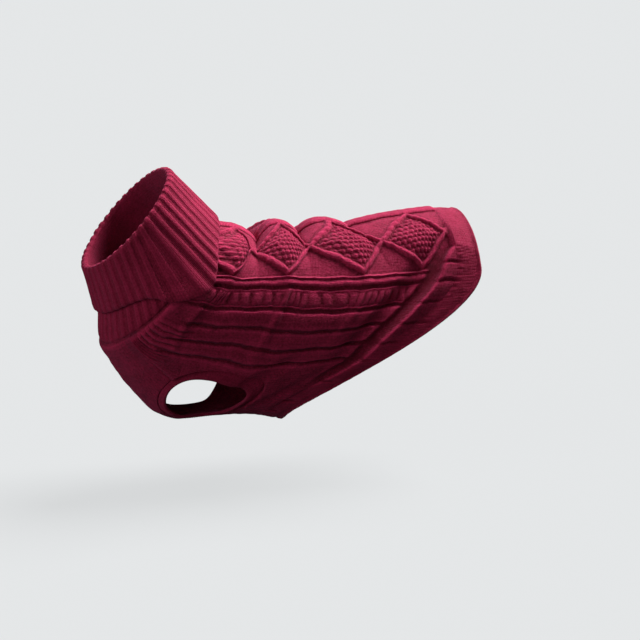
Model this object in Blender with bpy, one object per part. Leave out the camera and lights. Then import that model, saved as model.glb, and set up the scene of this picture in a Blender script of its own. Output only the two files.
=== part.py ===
"""Knitted dog sweater in the hollow form that it takes when it is worn.

The dog faces -X, +Y is its right side and +Z is up. The origin lies on the inside of the back, at the
withers, where the dog's back carries the sweater. Every cloth point is named by its course, the place
along the length counted from the neck seam (negative up the neck, positive towards the hem), and by its
wale, the distance round the girth from the spine. Lengths in the tables are millimetres.
"""

from collections import namedtuple

import bmesh
import bpy
import numpy as np

MM = 0.001
TIE = 0.01  # how much height counts against likeness when a mesh cell is split

# --- driving dimensions, millimetres --------------------------------------------------------------
CLOTH = 2.6  # plain thickness of the knitted wall
SEAM_GAP = 0.55  # distance between sewn pieces, counted in wales; at least 0.3 is left on the curves
NECK_SEAM_GAP = 0.8  # the same across the neck seam, counted in courses
HEM_SEAM_GAP = 1.4  # the same across the hem seam
SEAM_DIP = 3.0  # the relief sinks to the plain cloth this close to the neck seam and the hem seam
CHEST_COLUMNS = 9  # mesh columns across the plain chest panel
GIRTH_HALF_WIDTH = 71.0  # half width and half height of the chest girth, which lays out the wales
GIRTH_HALF_HEIGHT = 96.0
HEM_SEAM = 267.0  # course where the panels end and the hem rib starts
HEM_EDGE = 302.0  # course of the hem's free edge
NECK_RISE = 80.0  # height of the collar stand above the neck seam
PANEL_SEAM = 213.5  # wale of the side seam between the back panel and the chest panel, at the leg hole
SEAM_SLANT = 0.15  # wales that the side seam sinks for each millimetre of course

# Sections of the worn form. back_* is the spine point and belly_* the lowest point of each section;
# sweep is 0 where the section is one flat slanting ring, and 1 where it hangs straight down from the
# spine and then runs forward under the belly; lean moves the flank of the section along the body.
Section = namedtuple(
    "Section", "course back_x back_z belly_x belly_z back_half_width belly_half_width sweep lean"
)
SECTIONS = (
    Section(-80.0, -57.0, 54.0, -131.0, -34.0, 54.0, 54.0, 0.0, 0.0),
    Section(-40.0, -33.0, 26.0, -120.0, -71.0, 60.0, 60.0, 0.0, 0.0),
    Section(0.0, -8.0, 1.0, -120.0, -106.0, 67.0, 65.0, 0.0, -5.0),
    Section(16.0, 4.0, 0.0, -111.0, -123.0, 68.0, 66.0, 0.07, 20.0),
    Section(44.0, 24.0, 0.0, -101.0, -139.0, 70.0, 66.0, 0.25, 5.0),
    Section(80.0, 52.0, 0.0, -84.0, -160.0, 71.0, 66.0, 0.5, 12.0),
    Section(116.0, 76.0, 0.0, -68.0, -176.0, 71.0, 67.0, 0.7, 6.0),
    Section(152.0, 97.0, 0.0, -47.0, -183.0, 70.0, 69.0, 0.85, 34.0),
    Section(188.0, 138.0, 0.5, -22.0, -182.0, 68.0, 70.0, 0.95, 18.0),
    Section(224.0, 184.0, 3.0, 4.0, -182.0, 66.0, 70.0, 1.0, 7.0),
    Section(260.0, 218.0, 5.5, 31.0, -184.0, 65.0, 69.0, 1.0, 0.0),
    Section(302.0, 245.0, 3.0, 58.0, -187.0, 67.0, 68.0, 1.0, 4.0),
)
SWEEP_FROM = 60.0  # degrees from the spine where a swept section starts to run forward
SWEEP_TO = 158.0
LEAN_END = 115.0  # degrees from the spine where the lean has died out again

# Buckles across the back: each row is the valley between two rounded humps, with its place along the
# body at the spine, how far it has moved along the body at the foot of the diamonds, and its depth.
Valley = namedtuple("Valley", "spine_x slant depth")
VALLEYS = (
    Valley(-42.0, -20.0, 6.0),
    Valley(35.0, -16.0, 21.0),
    Valley(76.0, -3.0, 13.0),
    Valley(124.0, 31.0, 8.0),
    Valley(262.0, 0.0, 4.0),
)
VALLEY_SLANT_ANGLE = 57.0
ARCH = 0.65  # roundness of the humps: smaller is fuller, with a sharper valley
VALLEY_REACH = 78.0  # degrees from the spine where the buckles have died out

# Soft troughs in the flanks. course and angle give the middle, half_length runs round the girth in
# degrees, half_width runs along the body, depth goes inwards, and bow is how far the ends curve back
# towards the hem, in millimetres for each degree squared. The first one lies in front of the hem.
Trough = namedtuple("Trough", "course angle half_width half_length depth bow")
TROUGHS = (
    Trough(207.0, 79.0, 20.0, 46.0, 9.0, 0.028),
    Trough(40.0, 96.0, 16.0, 24.0, 2.5, 0.0),
    Trough(176.0, 116.0, 22.0, 22.0, 2.5, 0.0),
    Trough(240.0, 132.0, 16.0, 22.0, 3.0, 0.0),
)

# The wales spread over the shoulders: near the neck each one lies lower on the flank than further back.
FAN = 26.0  # how far the last groove is moved down at the neck
FAN_END = 110.0  # course where the wales run straight again

# --- knitted pattern of the back panel, millimetres from the spine ---------------------------------
RIB_HEIGHT = 3.0
GROOVE_HALF_WIDTH = 2.5
GROOVES = (9.0, 93.0, 115.0, 135.0, 152.0, 168.0)
DIAMOND_MIDDLE = 45.0
DIAMOND_HALF_WIDTH = 33.0
DIAMOND_LENGTH = 72.0
DIAMOND_JOINT = 44.0  # course of the first crossing of the diamond cables
FIRST_HALF = 28.0  # the half diamond ahead of it is pushed together towards the collar
DIAMOND_CELLS = 10  # mesh cells across and along each diamond
CABLE_HEIGHT = 4.2
DIAMOND_PUFF = 2.6  # rise of the moss-stitch middle of a diamond
PANEL_GROUND = 0.6  # plain stockinette between the diamonds
LINE_RIDGE = 82.0
LINE_RIDGE_HEIGHT = 2.2
LINE_HALF_WIDTH = 2.5
ROPE_MIDDLE = 104.0
ROPE_HALF_WIDTH = 8.0
ROPE_TWIST = DIAMOND_LENGTH / 5  # length of one crossing of the rope cable
ROPE_RELIEF = 1.0

# --- openings for the legs -------------------------------------------------------------------------
LEG_COURSE = 152.0
LEG_HALF_LENGTH = 72.0  # of the hole in the panels, before the band fills its rim
LEG_HALF_HEIGHT = 36.0
LEG_SQUARENESS = 2.2  # power of the rounded outline: 2 would be an ellipse
LEG_BAND_WIDTH = 12.0
LEG_BAND_LIFT = 0.9
LEG_BAND_FLARE = 2.0

# --- ribbed edges ----------------------------------------------------------------------------------
HEM_RIB_HEIGHT = 2.2
HEM_OUTSIDE = ((0.0, 0.0, 0.0), (0.09, 1.0, 0.0), (0.5, 1.0, 1.5), (0.87, 1.0, 2.5), (1.0, 0.5, 2.5))
HEM_INSIDE = ((1.0, 2.5), (0.5, 1.5), (0.0, 0.0))
HEM_GROOVES = (77.0, 94.0, 115.0, 135.0, 152.0, 168.0, 189.0, 213.5, 230.0, 247.0)  # none over the back
COLLAR_RIBS = 42
COLLAR_RIB_RELIEF = 1.5
FOLD_RISE = 5.5  # how far the fold stands above the top of the stand
TURN_THICKNESS = 2.2
LAYER_GAP = 0.8  # air between the turned-down layer and what it lies over
STAND_COURSES = (-NECK_SEAM_GAP, -27.0, -53.0)  # mesh rows of the stand, below the fold
TURN_SHARES = (0.03, 0.27, 0.51, 0.75, 0.97)  # mesh rows of the turned-down layer, fold to edge
TURN_INNER_SHARES = (0.69, 0.38, 0.07)
LIFTED_EDGE = (-30.0, -14.0)  # between these courses the edge climbs from the stand onto the body
Edge = namedtuple("Edge", "angle course")
# Where the turned-down collar ends, round the neck from nape (0) to throat (180).
TURN_EDGE = (
    Edge(0.0, 2.0),
    Edge(35.0, 4.0),
    Edge(62.0, 8.0),
    Edge(80.0, 11.0),
    Edge(92.0, 4.0),
    Edge(101.0, -12.0),
    Edge(114.0, -25.0),
    Edge(135.0, -32.0),
    Edge(180.0, -35.0),
)


def through(x, knots, values):
    """Smooth curve through the rows of a table that never swings past a row's own value."""
    knots = np.asarray(knots, float)
    values = np.asarray(values, float)
    step = np.diff(knots)
    rise = np.diff(values) / step
    same_way = rise[:-1] * rise[1:] > 0
    total = np.where(same_way, rise[:-1] + rise[1:], 1.0)
    inner = np.where(same_way, 2 * rise[:-1] * rise[1:] / total, 0.0)
    slopes = np.concatenate([rise[:1], inner, rise[-1:]])
    x = np.clip(np.asarray(x, float), knots[0], knots[-1])
    i = np.clip(np.searchsorted(knots, x, side="right") - 1, 0, len(knots) - 2)
    u = (x - knots[i]) / step[i]
    near = slopes[i] * step[i]
    far = slopes[i + 1] * step[i]
    climb = values[i + 1] - values[i]
    return values[i] + u * near + u**2 * (3 * climb - 2 * near - far) + u**3 * (near + far - 2 * climb)


def column(name, course):
    """One column of the section table at any course; beyond its ends it runs on straight."""
    knots = [s.course for s in SECTIONS]
    values = [getattr(s, name) for s in SECTIONS]
    course = np.asarray(course, float)
    inside = through(course, knots, values)
    over = course - np.clip(course, knots[0], knots[-1])
    first = (values[1] - values[0]) / (knots[1] - knots[0])
    last = (values[-1] - values[-2]) / (knots[-1] - knots[-2])
    return inside + np.where(over < 0, first, last) * over


def ease(x, start, end):
    """0 before start, 1 after end, and smooth between."""
    u = np.clip((np.asarray(x, float) - start) / (end - start), 0, 1)
    return u * u * (3 - 2 * u)


def bell(x, middle, half_width):
    """A soft bump: 1 at its middle and 0 from half_width on."""
    u = np.clip(np.abs(np.asarray(x, float) - middle) / half_width, 0, 1)
    return (1 - u * u) ** 2


def girth_table():
    """Angles from the spine and the arc length of the girth ellipse up to each of them."""
    angle = np.linspace(0, 180, 721)
    x = GIRTH_HALF_WIDTH * np.sin(np.radians(angle))
    z = GIRTH_HALF_HEIGHT * np.cos(np.radians(angle))
    arc = np.concatenate([[0], np.cumsum(np.hypot(np.diff(x), np.diff(z)))])
    return angle, arc


GIRTH_ANGLES, GIRTH_ARC = girth_table()
HALF_GIRTH = float(GIRTH_ARC[-1])


def angle_at(wale, course):
    """Degrees from the spine of a wale, in millimetres round the girth from the spine; left is positive."""
    wale, course = np.broadcast_arrays(np.asarray(wale, float), np.asarray(course, float))
    place = np.abs(wale)
    spread = np.minimum(place / GROOVES[-1], (PANEL_SEAM - place) / (PANEL_SEAM - GROOVES[-1]))
    place = place + FAN * np.maximum(spread, 0) * (1 - ease(course, 0, FAN_END))
    return np.sign(wale) * np.interp(place, GIRTH_ARC, GIRTH_ANGLES)


def buckle(x, angle):
    """Depth of the folds across the back: cusped valleys between rounded humps."""
    lean = np.clip(angle / VALLEY_SLANT_ANGLE, 0, 1.2)
    places = np.array([v.spine_x + v.slant * lean for v in VALLEYS])
    depths = np.array([v.depth for v in VALLEYS])
    found = np.zeros_like(x)
    for i in range(len(VALLEYS) - 1):
        u = (x - places[i]) / (places[i + 1] - places[i])
        inside = (u >= 0) & (u < 1)
        arch = np.sin(np.pi * np.clip(u, 0, 1)) ** ARCH
        depth = depths[i] + (depths[i + 1] - depths[i]) * u
        found = np.where(inside, depth * (1 - arch), found)
    fade = 0.5 * (1 + np.cos(np.pi * np.clip(angle / VALLEY_REACH, 0, 1)))
    return found * fade


def smooth_form(course, angle):
    """The worn form without its folds: a point of the cloth's inner face."""
    course, angle = np.broadcast_arrays(np.asarray(course, float), np.asarray(angle, float))
    turn = np.abs(angle)
    cosine = np.cos(np.radians(angle))
    flat = (1 - cosine) / 2
    hung = ease(turn, SWEEP_FROM, SWEEP_TO)
    sweep = column("sweep", course)
    forward = flat + (hung - flat) * np.clip(sweep, 0, 1)
    back_x, belly_x = column("back_x", course), column("belly_x", course)
    back_z, belly_z = column("back_z", course), column("belly_z", course)
    lean = column("lean", course) * np.sin(np.pi * np.clip(turn / LEAN_END, 0, 1))
    x = back_x + (belly_x - back_x) * forward + lean
    z = belly_z + (back_z - belly_z) * (1 - flat)
    wide = column("back_half_width", course) * (1 - forward) + column("belly_half_width", course) * forward
    y = -wide * np.sin(np.radians(angle))
    return np.stack([x, y, z], axis=-1)


def outward(course, angle, reach=8.0):
    """Unit normal of the smooth form; measured over a wide step, so it turns gently at the neck seam."""
    step = 3.0
    along = smooth_form(course + reach, angle) - smooth_form(course - reach, angle)
    across = smooth_form(course, angle + step) - smooth_form(course, angle - step)
    normal = np.cross(across, along)
    return normal / np.linalg.norm(normal, axis=-1, keepdims=True)


def cloth(course, angle, offset=0.0):
    """A point of the cloth: the worn form with its folds, moved out by offset."""
    course, angle, offset = np.broadcast_arrays(
        np.asarray(course, float), np.asarray(angle, float), np.asarray(offset, float)
    )
    base = smooth_form(course, angle)
    normal = outward(course, angle)
    on_body = ease(course, -12.0, 6.0)
    depth = buckle(base[..., 0], np.abs(angle)) * on_body
    for t in TROUGHS:
        aside = np.abs(angle) - t.angle
        along = bell(course - t.bow * aside**2, t.course, t.half_width)
        depth = depth + t.depth * along * bell(aside, 0.0, t.half_length)
    return base + normal * (offset - depth)[..., None]


# --- relief of the knitting ------------------------------------------------------------------------
def rib_relief(wale, grooves, height=RIB_HEIGHT):
    """Flat-topped ribs with a groove at each given wale."""
    nearest = np.min([np.abs(wale - g) for g in grooves], axis=0)
    return height * ease(nearest, 0.0, GROOVE_HALF_WIDTH)


def stitch_course(course):
    """Course as the pattern counts it: ahead of the first joint the stitches are pushed together."""
    stretch = DIAMOND_LENGTH / 2 / FIRST_HALF
    return np.where(course < DIAMOND_JOINT, DIAMOND_JOINT + (course - DIAMOND_JOINT) * stretch, course)


def diamond_place(course, wale):
    """Where a point lies in the lattice: 0 on a cable, 1 in the middle of a diamond, and the sign says
    whether it is inside a diamond (positive) or in a plain triangle beside it (negative)."""
    along = (stitch_course(course) - DIAMOND_JOINT) / (DIAMOND_LENGTH / 2)
    along = 1 - np.abs(np.mod(along, 2) - 1)
    across = np.abs(wale - DIAMOND_MIDDLE) / DIAMOND_HALF_WIDTH
    return along - across


def back_relief(course, wale):
    """Height of the back panel's pattern over the plain wall."""
    wale = np.abs(wale)
    height = rib_relief(wale, GROOVES)
    place = diamond_place(course, wale)
    cell = 2.0 / DIAMOND_CELLS
    cable = CABLE_HEIGHT * np.clip(1 - np.abs(place) / cell, 0, 1)
    moss = PANEL_GROUND + DIAMOND_PUFF * ease(place, cell * 0.5, 3 * cell)
    lattice = np.maximum(cable, moss)
    in_panel = (wale >= DIAMOND_MIDDLE - DIAMOND_HALF_WIDTH) & (wale <= LINE_RIDGE + LINE_HALF_WIDTH)
    height = np.where(in_panel, lattice, height)
    ridge = LINE_RIDGE_HEIGHT * np.clip(1 - np.abs(wale - LINE_RIDGE) / LINE_HALF_WIDTH, 0, 1)
    height = np.where(np.abs(wale - LINE_RIDGE) <= LINE_HALF_WIDTH, PANEL_GROUND + ridge, height)
    in_rope = np.abs(wale - ROPE_MIDDLE) < ROPE_HALF_WIDTH
    twist = np.cos(2 * np.pi * (stitch_course(course) - DIAMOND_JOINT) / ROPE_TWIST)
    height = np.where(in_rope, height + ROPE_RELIEF * twist, height)
    return height * ease(course, 0, SEAM_DIP) * (1 - ease(course, HEM_SEAM - SEAM_DIP, HEM_SEAM))


def plain_relief(course, wale):
    """The chest panel is plain stockinette."""
    return np.zeros_like(wale)


# --- mesh making -----------------------------------------------------------------------------------
def knit_material(name, colour, roughness):
    material = bpy.data.materials.new(name)
    material.use_nodes = True
    shader = material.node_tree.nodes["Principled BSDF"]
    shader.inputs["Base Color"].default_value = (*colour, 1.0)
    shader.inputs["Roughness"].default_value = roughness
    shader.inputs["Metallic"].default_value = 0.0
    return material


def add_grid(bm, points, height):
    """Triangles over a grid of points, rows by columns. Each cell is split along the diagonal whose ends
    are most alike in height, and of two alike along the higher one, so that a raised cable keeps its
    crest and its even sides."""
    rows, columns = points.shape[:2]
    made = [[bm.verts.new(points[r, c] * MM) for c in range(columns)] for r in range(rows)]
    for r in range(rows - 1):
        for c in range(columns - 1):
            a, b, d, e = made[r][c], made[r][c + 1], made[r + 1][c + 1], made[r + 1][c]
            first = abs(height[r, c] - height[r + 1, c + 1]) - TIE * (height[r, c] + height[r + 1, c + 1])
            other = abs(height[r, c + 1] - height[r + 1, c]) - TIE * (height[r, c + 1] + height[r + 1, c])
            if first <= other:
                bm.faces.new((a, b, d))
                bm.faces.new((a, d, e))
            else:
                bm.faces.new((a, b, e))
                bm.faces.new((b, d, e))
    return made


def add_strip(bm, first, second, places_first, places_second, closed):
    """Triangles between two rows of points that may have different counts, matched by their places."""
    i = j = 0
    last_i = len(first) if closed else len(first) - 1
    last_j = len(second) if closed else len(second) - 1
    span = 1.0 + max(places_first[-1], places_second[-1])
    next_first = list(places_first[1:]) + [span]
    next_second = list(places_second[1:]) + [span]
    while i < last_i or j < last_j:
        a, b = first[i % len(first)], second[j % len(second)]
        if j >= last_j or (i < last_i and next_first[i] <= next_second[j]):
            c = first[(i + 1) % len(first)]
            i += 1
        else:
            c = second[(j + 1) % len(second)]
            j += 1
        bm.faces.new((a, b, c))


def finish(bm, name, material):
    """Closes the mesh into one object with its faces outwards, shaded smooth."""
    bmesh.ops.recalc_face_normals(bm, faces=bm.faces)
    mesh = bpy.data.meshes.new(name)
    bm.to_mesh(mesh)
    bm.free()
    mesh.materials.append(material)
    mesh.shade_smooth()
    piece = bpy.data.objects.new(name, mesh)
    bpy.context.collection.objects.link(piece)
    return piece


def panel_solid(name, courses, outer_wales_at, inner_wales_at, relief, material):
    """An open panel: a fine outer face, a plain inner face with fewer columns, and the rims between."""
    outer_wales = np.array([outer_wales_at(c) for c in courses])
    inner_wales = np.array([inner_wales_at(c) for c in courses])
    outer_courses = np.repeat(np.array(courses)[:, None], outer_wales.shape[1], axis=1)
    inner_courses = np.repeat(np.array(courses)[:, None], inner_wales.shape[1], axis=1)
    height = CLOTH + relief(outer_courses, outer_wales)
    bm = bmesh.new()
    outside = cloth(outer_courses, ring_angle(outer_wales, outer_courses), height)
    inside = cloth(inner_courses, ring_angle(inner_wales, inner_courses))
    front = add_grid(bm, outside, height)
    behind = add_grid(bm, inside, np.zeros_like(inner_courses))
    for r in (0, -1):
        add_strip(bm, front[r], behind[r], outer_wales[r], inner_wales[r], closed=False)
    for c in (0, -1):
        add_strip(bm, [row[c] for row in front], [row[c] for row in behind], courses, courses, closed=False)
    return finish(bm, name, material)


def tube_solid(name, rings, material):
    """A closed loop of cloth: rings of points, one after another round its cross-section."""
    bm = bmesh.new()
    made = []
    for ring, places in rings:
        made.append(([bm.verts.new(p * MM) for p in ring], list(places)))
    for k, (ring, places) in enumerate(made):
        following, next_places = made[(k + 1) % len(made)]
        if len(ring) == len(following):
            for c in range(len(ring)):
                n = (c + 1) % len(ring)
                bm.faces.new((ring[c], ring[n], following[n], following[c]))
        else:
            add_strip(bm, ring, following, places, next_places, closed=True)
    return finish(bm, name, material)


# --- the pieces ------------------------------------------------------------------------------------
def body_courses():
    """Courses of the mesh rows: some to each half diamond, and closer ones at the two seams."""
    half = DIAMOND_CELLS // 2
    first = DIAMOND_JOINT - FIRST_HALF
    row = DIAMOND_LENGTH / DIAMOND_CELLS
    rows = [0.0, SEAM_DIP, (SEAM_DIP + first) / 2]
    rows += [first + FIRST_HALF * k / half for k in range(half)]
    rows += [DIAMOND_JOINT + row * k for k in range(int((HEM_SEAM - SEAM_DIP - DIAMOND_JOINT) / row) + 1)]
    return rows + [HEM_SEAM - SEAM_DIP, HEM_SEAM]


def half_back_wales():
    """Wales of the mesh columns from the spine to the side seam."""
    rib = GROOVE_HALF_WIDTH
    cell = 2 * DIAMOND_HALF_WIDTH / DIAMOND_CELLS
    wales = [0.0, GROOVES[0] - rib, GROOVES[0]]
    wales += [DIAMOND_MIDDLE - DIAMOND_HALF_WIDTH + cell * k for k in range(DIAMOND_CELLS + 1)]
    wales += [LINE_RIDGE - 0.6 * LINE_HALF_WIDTH, LINE_RIDGE, LINE_RIDGE + LINE_HALF_WIDTH, ROPE_MIDDLE]
    for groove in GROOVES[1:]:
        wales += [groove - rib, groove, groove + rib]
    wales += [(GROOVES[-1] + PANEL_SEAM) / 2, PANEL_SEAM]
    return sorted(wales)


def coarse_back_wales():
    """Wales of the inner face's columns, which need not show the relief and are fewer."""
    fine = half_back_wales()
    diamond = fine[3 : 4 + DIAMOND_CELLS : 2]
    ribs = [(a + b) / 2 for a, b in zip(GROOVES[1:], GROOVES[2:])]
    return fine[:1] + diamond + sorted(ribs + list(GROOVES[1:])) + fine[-2:]


def side_seam(course):
    """Wale of the side seam: it runs aslant, so that the leg hole leans back under the chest."""
    return PANEL_SEAM + SEAM_SLANT * (course - LEG_COURSE)


def half_gap(course):
    """Half of the side seam's gap in wales: twice as many near the neck, where the wales are squeezed."""
    return SEAM_GAP / 2 * (2 - ease(course, 0, FAN_END))


def leg_reach(course):
    """How far the leg hole's rim lies from the side seam at a course."""
    u = np.clip(np.abs(course - LEG_COURSE) / LEG_HALF_LENGTH, 0, 1)
    return LEG_HALF_HEIGHT * (1 - u**LEG_SQUARENESS) ** (1 / LEG_SQUARENESS)


def leg_rim(side, inset, offset):
    """Points round one leg hole, from its front end over the top; side is 1 on the left, -1 on the right.
    The points lie on the mesh rows of the panels, drawn in by inset, so that both rims run alike."""
    ends = [LEG_COURSE - LEG_HALF_LENGTH, LEG_COURSE + LEG_HALF_LENGTH]
    rows = [c for c in body_courses() if ends[0] < c < ends[1]]
    upper = np.array([ends[0]] + rows + [ends[1]])
    course = np.concatenate([upper, upper[-2:0:-1]])
    reach = leg_reach(upper) * (1 - inset / LEG_HALF_HEIGHT)
    course = LEG_COURSE + (course - LEG_COURSE) * (1 - inset / LEG_HALF_LENGTH)
    wale = side_seam(course) - np.concatenate([reach, -reach[-2:0:-1]])
    return cloth(course, side * angle_at(wale, course), offset)


def back_wales(course, half):
    """The columns at one course: the outermost ones draw in above the leg hole."""
    held = GROOVES[-1]
    edge = side_seam(course) - half_gap(course) - leg_reach(course)
    scale = (edge - held) / (PANEL_SEAM - held)
    drawn = [w if w <= held else held + (w - held) * scale for w in half]
    return [-w for w in reversed(drawn)] + drawn[1:]


def chest_wales(course):
    """The chest panel's columns at one course, from the left side seam under the belly to the right."""
    edge = side_seam(course) + half_gap(course) + leg_reach(course)
    return list(np.linspace(edge, 2 * HALF_GIRTH - edge, CHEST_COLUMNS))


def ring_angle(wale, course):
    """Angle of a wale that may run on past the middle of the belly and up the other side."""
    wale = np.asarray(wale, float)
    below = wale > HALF_GIRTH
    angle = angle_at(np.where(below, 2 * HALF_GIRTH - wale, wale), course)
    return np.where(below, -angle, angle)


def make_back_panel(material):
    fine = half_back_wales()
    coarse = coarse_back_wales()
    courses = body_courses()
    return panel_solid(
        "back_panel",
        courses,
        lambda c: back_wales(c, fine),
        lambda c: back_wales(c, coarse),
        back_relief,
        material,
    )


def make_chest_panel(material):
    return panel_solid("chest_panel", body_courses(), chest_wales, chest_wales, plain_relief, material)


def hem_ring(half):
    """Wales once round the hem, over the same columns as the two panels that it is sewn to."""
    upper = [w for w in back_wales(HEM_SEAM, half) if w >= 0]
    belly = chest_wales(HEM_SEAM)[1:-1]
    other_side = [2 * HALF_GIRTH - w for w in reversed(upper[1:])]
    return np.array(upper + belly + other_side)


def make_hem_rib(material):
    outer = hem_ring(half_back_wales())
    inner = hem_ring(coarse_back_wales())
    ribs = rib_relief(np.minimum(outer, 2 * HALF_GIRTH - outer), HEM_GROOVES, HEM_RIB_HEIGHT)
    start = HEM_SEAM + HEM_SEAM_GAP
    length = HEM_EDGE - start
    rings = []
    for share, rib_share, flare in HEM_OUTSIDE:
        height = CLOTH + flare + ribs * rib_share
        rings.append((cloth(start + length * share, ring_angle(outer, HEM_SEAM), height), outer))
    for share, flare in HEM_INSIDE:
        rings.append((cloth(start + length * share, ring_angle(inner, HEM_SEAM), flare), inner))
    return tube_solid("hem_rib", rings, material)


def make_collar(material):
    count = 2 * COLLAR_RIBS
    angles = np.arange(count) * 360.0 / count
    angles = np.where(angles > 180, angles - 360, angles)
    crest = (np.arange(count) % 2) * COLLAR_RIB_RELIEF
    edge = through(np.abs(angles), [e.angle for e in TURN_EDGE], [e.course for e in TURN_EDGE])
    over_stand = CLOTH + COLLAR_RIB_RELIEF + LAYER_GAP
    over_body = CLOTH + RIB_HEIGHT + 3 * LAYER_GAP
    over_edge = over_stand + (over_body - over_stand) * ease(edge, *LIFTED_EDGE)
    rings = []

    def ring(points, every=1):
        rings.append((points[::every], np.arange(count)[::every]))

    def turned(share, lift):
        """The turned-down layer hangs straight from the fold to its edge."""
        top = cloth(-NECK_RISE, angles, over_stand + lift)
        low = cloth(edge, angles, over_edge + lift)
        return top + (low - top) * share

    for course in (*STAND_COURSES, -NECK_RISE):
        ring(cloth(course, angles), every=2)
    ring(cloth(-NECK_RISE - 0.7 * FOLD_RISE, angles, over_stand * 0.25))
    ring(cloth(-NECK_RISE - FOLD_RISE, angles, over_stand * 0.75))
    ring(cloth(-NECK_RISE - 0.7 * FOLD_RISE, angles, over_stand + TURN_THICKNESS * 0.8 + crest * 0.6))
    for share in TURN_SHARES:
        ring(turned(share, TURN_THICKNESS + crest))
    ring(turned(1.0, (TURN_THICKNESS + crest) * 0.5))
    ring(turned(1.0, 0.0), every=2)
    for share in TURN_INNER_SHARES:
        ring(turned(share, 0.0), every=2)
    for course in (0.05 * NECK_RISE - NECK_RISE, *reversed(STAND_COURSES)):
        ring(cloth(course, angles, CLOTH + crest))
    return tube_solid("collar", rings, material)


def make_leg_band(side, name, material):
    """The ribbed rim of one leg hole; side is 1 on the left and -1 on the right."""
    sections = (
        (SEAM_GAP, CLOTH),
        (LEG_BAND_WIDTH * 0.2, CLOTH + LEG_BAND_LIFT),
        (LEG_BAND_WIDTH * 0.8, CLOTH + LEG_BAND_LIFT + LEG_BAND_FLARE),
        (LEG_BAND_WIDTH, CLOTH + LEG_BAND_FLARE),
        (LEG_BAND_WIDTH, LEG_BAND_FLARE),
        (SEAM_GAP, 0.0),
    )
    rings = [leg_rim(side, inset, offset) for inset, offset in sections]
    return tube_solid(name, [(r, np.arange(len(r))) for r in rings], material)


def build():
    for thing in list(bpy.data.objects):
        bpy.data.objects.remove(thing)
    wool = knit_material("magenta_wool", (0.33, 0.02, 0.10), 0.9)
    rib = knit_material("magenta_rib", (0.30, 0.02, 0.09), 0.9)
    make_back_panel(wool)
    make_chest_panel(wool)
    make_collar(rib)
    make_hem_rib(rib)
    make_leg_band(1, "leg_band_left", rib)
    make_leg_band(-1, "leg_band_right", rib)
    print("triangles:", {o.name: sum(len(p.vertices) - 2 for p in o.data.polygons) for o in bpy.data.objects})


build()
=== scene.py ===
# %% [markdown]
# # A knitted dog sweater
# This lesson dresses a rigid model of a dog sweater in knitted wool. The rigid model, the frame, is
# loaded first: it says where every piece lies, how big it is and which piece it stands for. Everything
# after this cell only changes how the sweater looks.

# %% load the frame
from collections import namedtuple

import bmesh
import bpy
import numpy as np
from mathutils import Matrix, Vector


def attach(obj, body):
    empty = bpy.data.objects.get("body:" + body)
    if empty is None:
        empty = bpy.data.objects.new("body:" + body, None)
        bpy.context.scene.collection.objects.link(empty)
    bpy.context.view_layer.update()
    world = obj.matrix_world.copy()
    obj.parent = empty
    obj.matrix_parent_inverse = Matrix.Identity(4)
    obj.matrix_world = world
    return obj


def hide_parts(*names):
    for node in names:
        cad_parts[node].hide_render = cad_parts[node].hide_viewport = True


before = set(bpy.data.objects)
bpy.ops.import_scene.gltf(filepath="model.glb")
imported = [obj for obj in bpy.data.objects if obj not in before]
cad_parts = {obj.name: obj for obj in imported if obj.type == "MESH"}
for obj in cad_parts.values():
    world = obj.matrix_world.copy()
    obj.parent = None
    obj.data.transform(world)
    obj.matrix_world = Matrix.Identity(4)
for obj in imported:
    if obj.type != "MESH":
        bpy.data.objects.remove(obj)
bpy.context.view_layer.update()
bpy.ops.object.select_all(action="DESELECT")
MM = 0.001

# %% [markdown]
# ## The stage
# A garment shows itself by its outline and its relief, so it gets the plainest stage: a pale floor far
# below and a backdrop of the same tone, with no horizon between them. Near lamps would leave bright
# pools on the floor and a gradient on the wool. Two very large softboxes that stand far off light
# everything alike, so each is made as a sun with a wide disc. The strong one stands high behind the hem
# on the far side: it lights the back, leaves the flanks in shade and rakes across the folds. The weak
# one stands low on the near side, ahead of the chest, and opens the shadows of the flank and the chest.
# The view transform is the plain one, because the filmic one would wash out the deep magenta.

# %% camera and lights
FLOOR_Z = -0.25
CAMERA_AIM = Vector((0.101, 0.0, -0.098))
CAMERA_AZIMUTH = -18.0
CAMERA_ELEVATION = 11.0
CAMERA_DISTANCE = 2.5
CAMERA_LENS = 140.6
Softbox = namedtuple("Softbox", "name azimuth elevation spread strength")
SOFTBOXES = (
    Softbox("key_softbox", 116.0, 54.0, 40.0, 9.0),
    Softbox("fill_softbox", -65.0, 14.0, 60.0, 1.18),
)


def direction(azimuth, elevation):
    """Unit vector from the aim towards a camera or a light; azimuth 0 stands on the -Y side."""
    a, e = np.radians(azimuth), np.radians(elevation)
    return Vector((np.sin(a) * np.cos(e), -np.cos(a) * np.cos(e), np.sin(e)))


def aim(thing, target):
    """Turns a camera or a light towards a point."""
    thing.rotation_euler = (target - thing.location).to_track_quat("-Z", "Y").to_euler()


camera_place = CAMERA_AIM + direction(CAMERA_AZIMUTH, CAMERA_ELEVATION) * CAMERA_DISTANCE
bpy.ops.object.camera_add(location=camera_place)
camera = bpy.context.object
camera.data.lens = CAMERA_LENS
camera.data.sensor_width = 36.0
aim(camera, CAMERA_AIM)
bpy.context.scene.camera = camera
bpy.context.scene.view_settings.view_transform = "Standard"

for box in SOFTBOXES:
    bpy.ops.object.light_add(type="SUN", location=CAMERA_AIM + direction(box.azimuth, box.elevation))
    light = bpy.context.object
    light.name = box.name
    light.data.angle = np.radians(box.spread)
    light.data.energy = box.strength
    aim(light, CAMERA_AIM)
print("camera at", [round(v, 3) for v in camera.location])

# %% [markdown]
# The floor shows its own pale tone to the camera and only a faint shadow. To the wool it is dark: light
# bounced off a pale floor would fill the belly, whose shade is half of the sweater's form.

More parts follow.
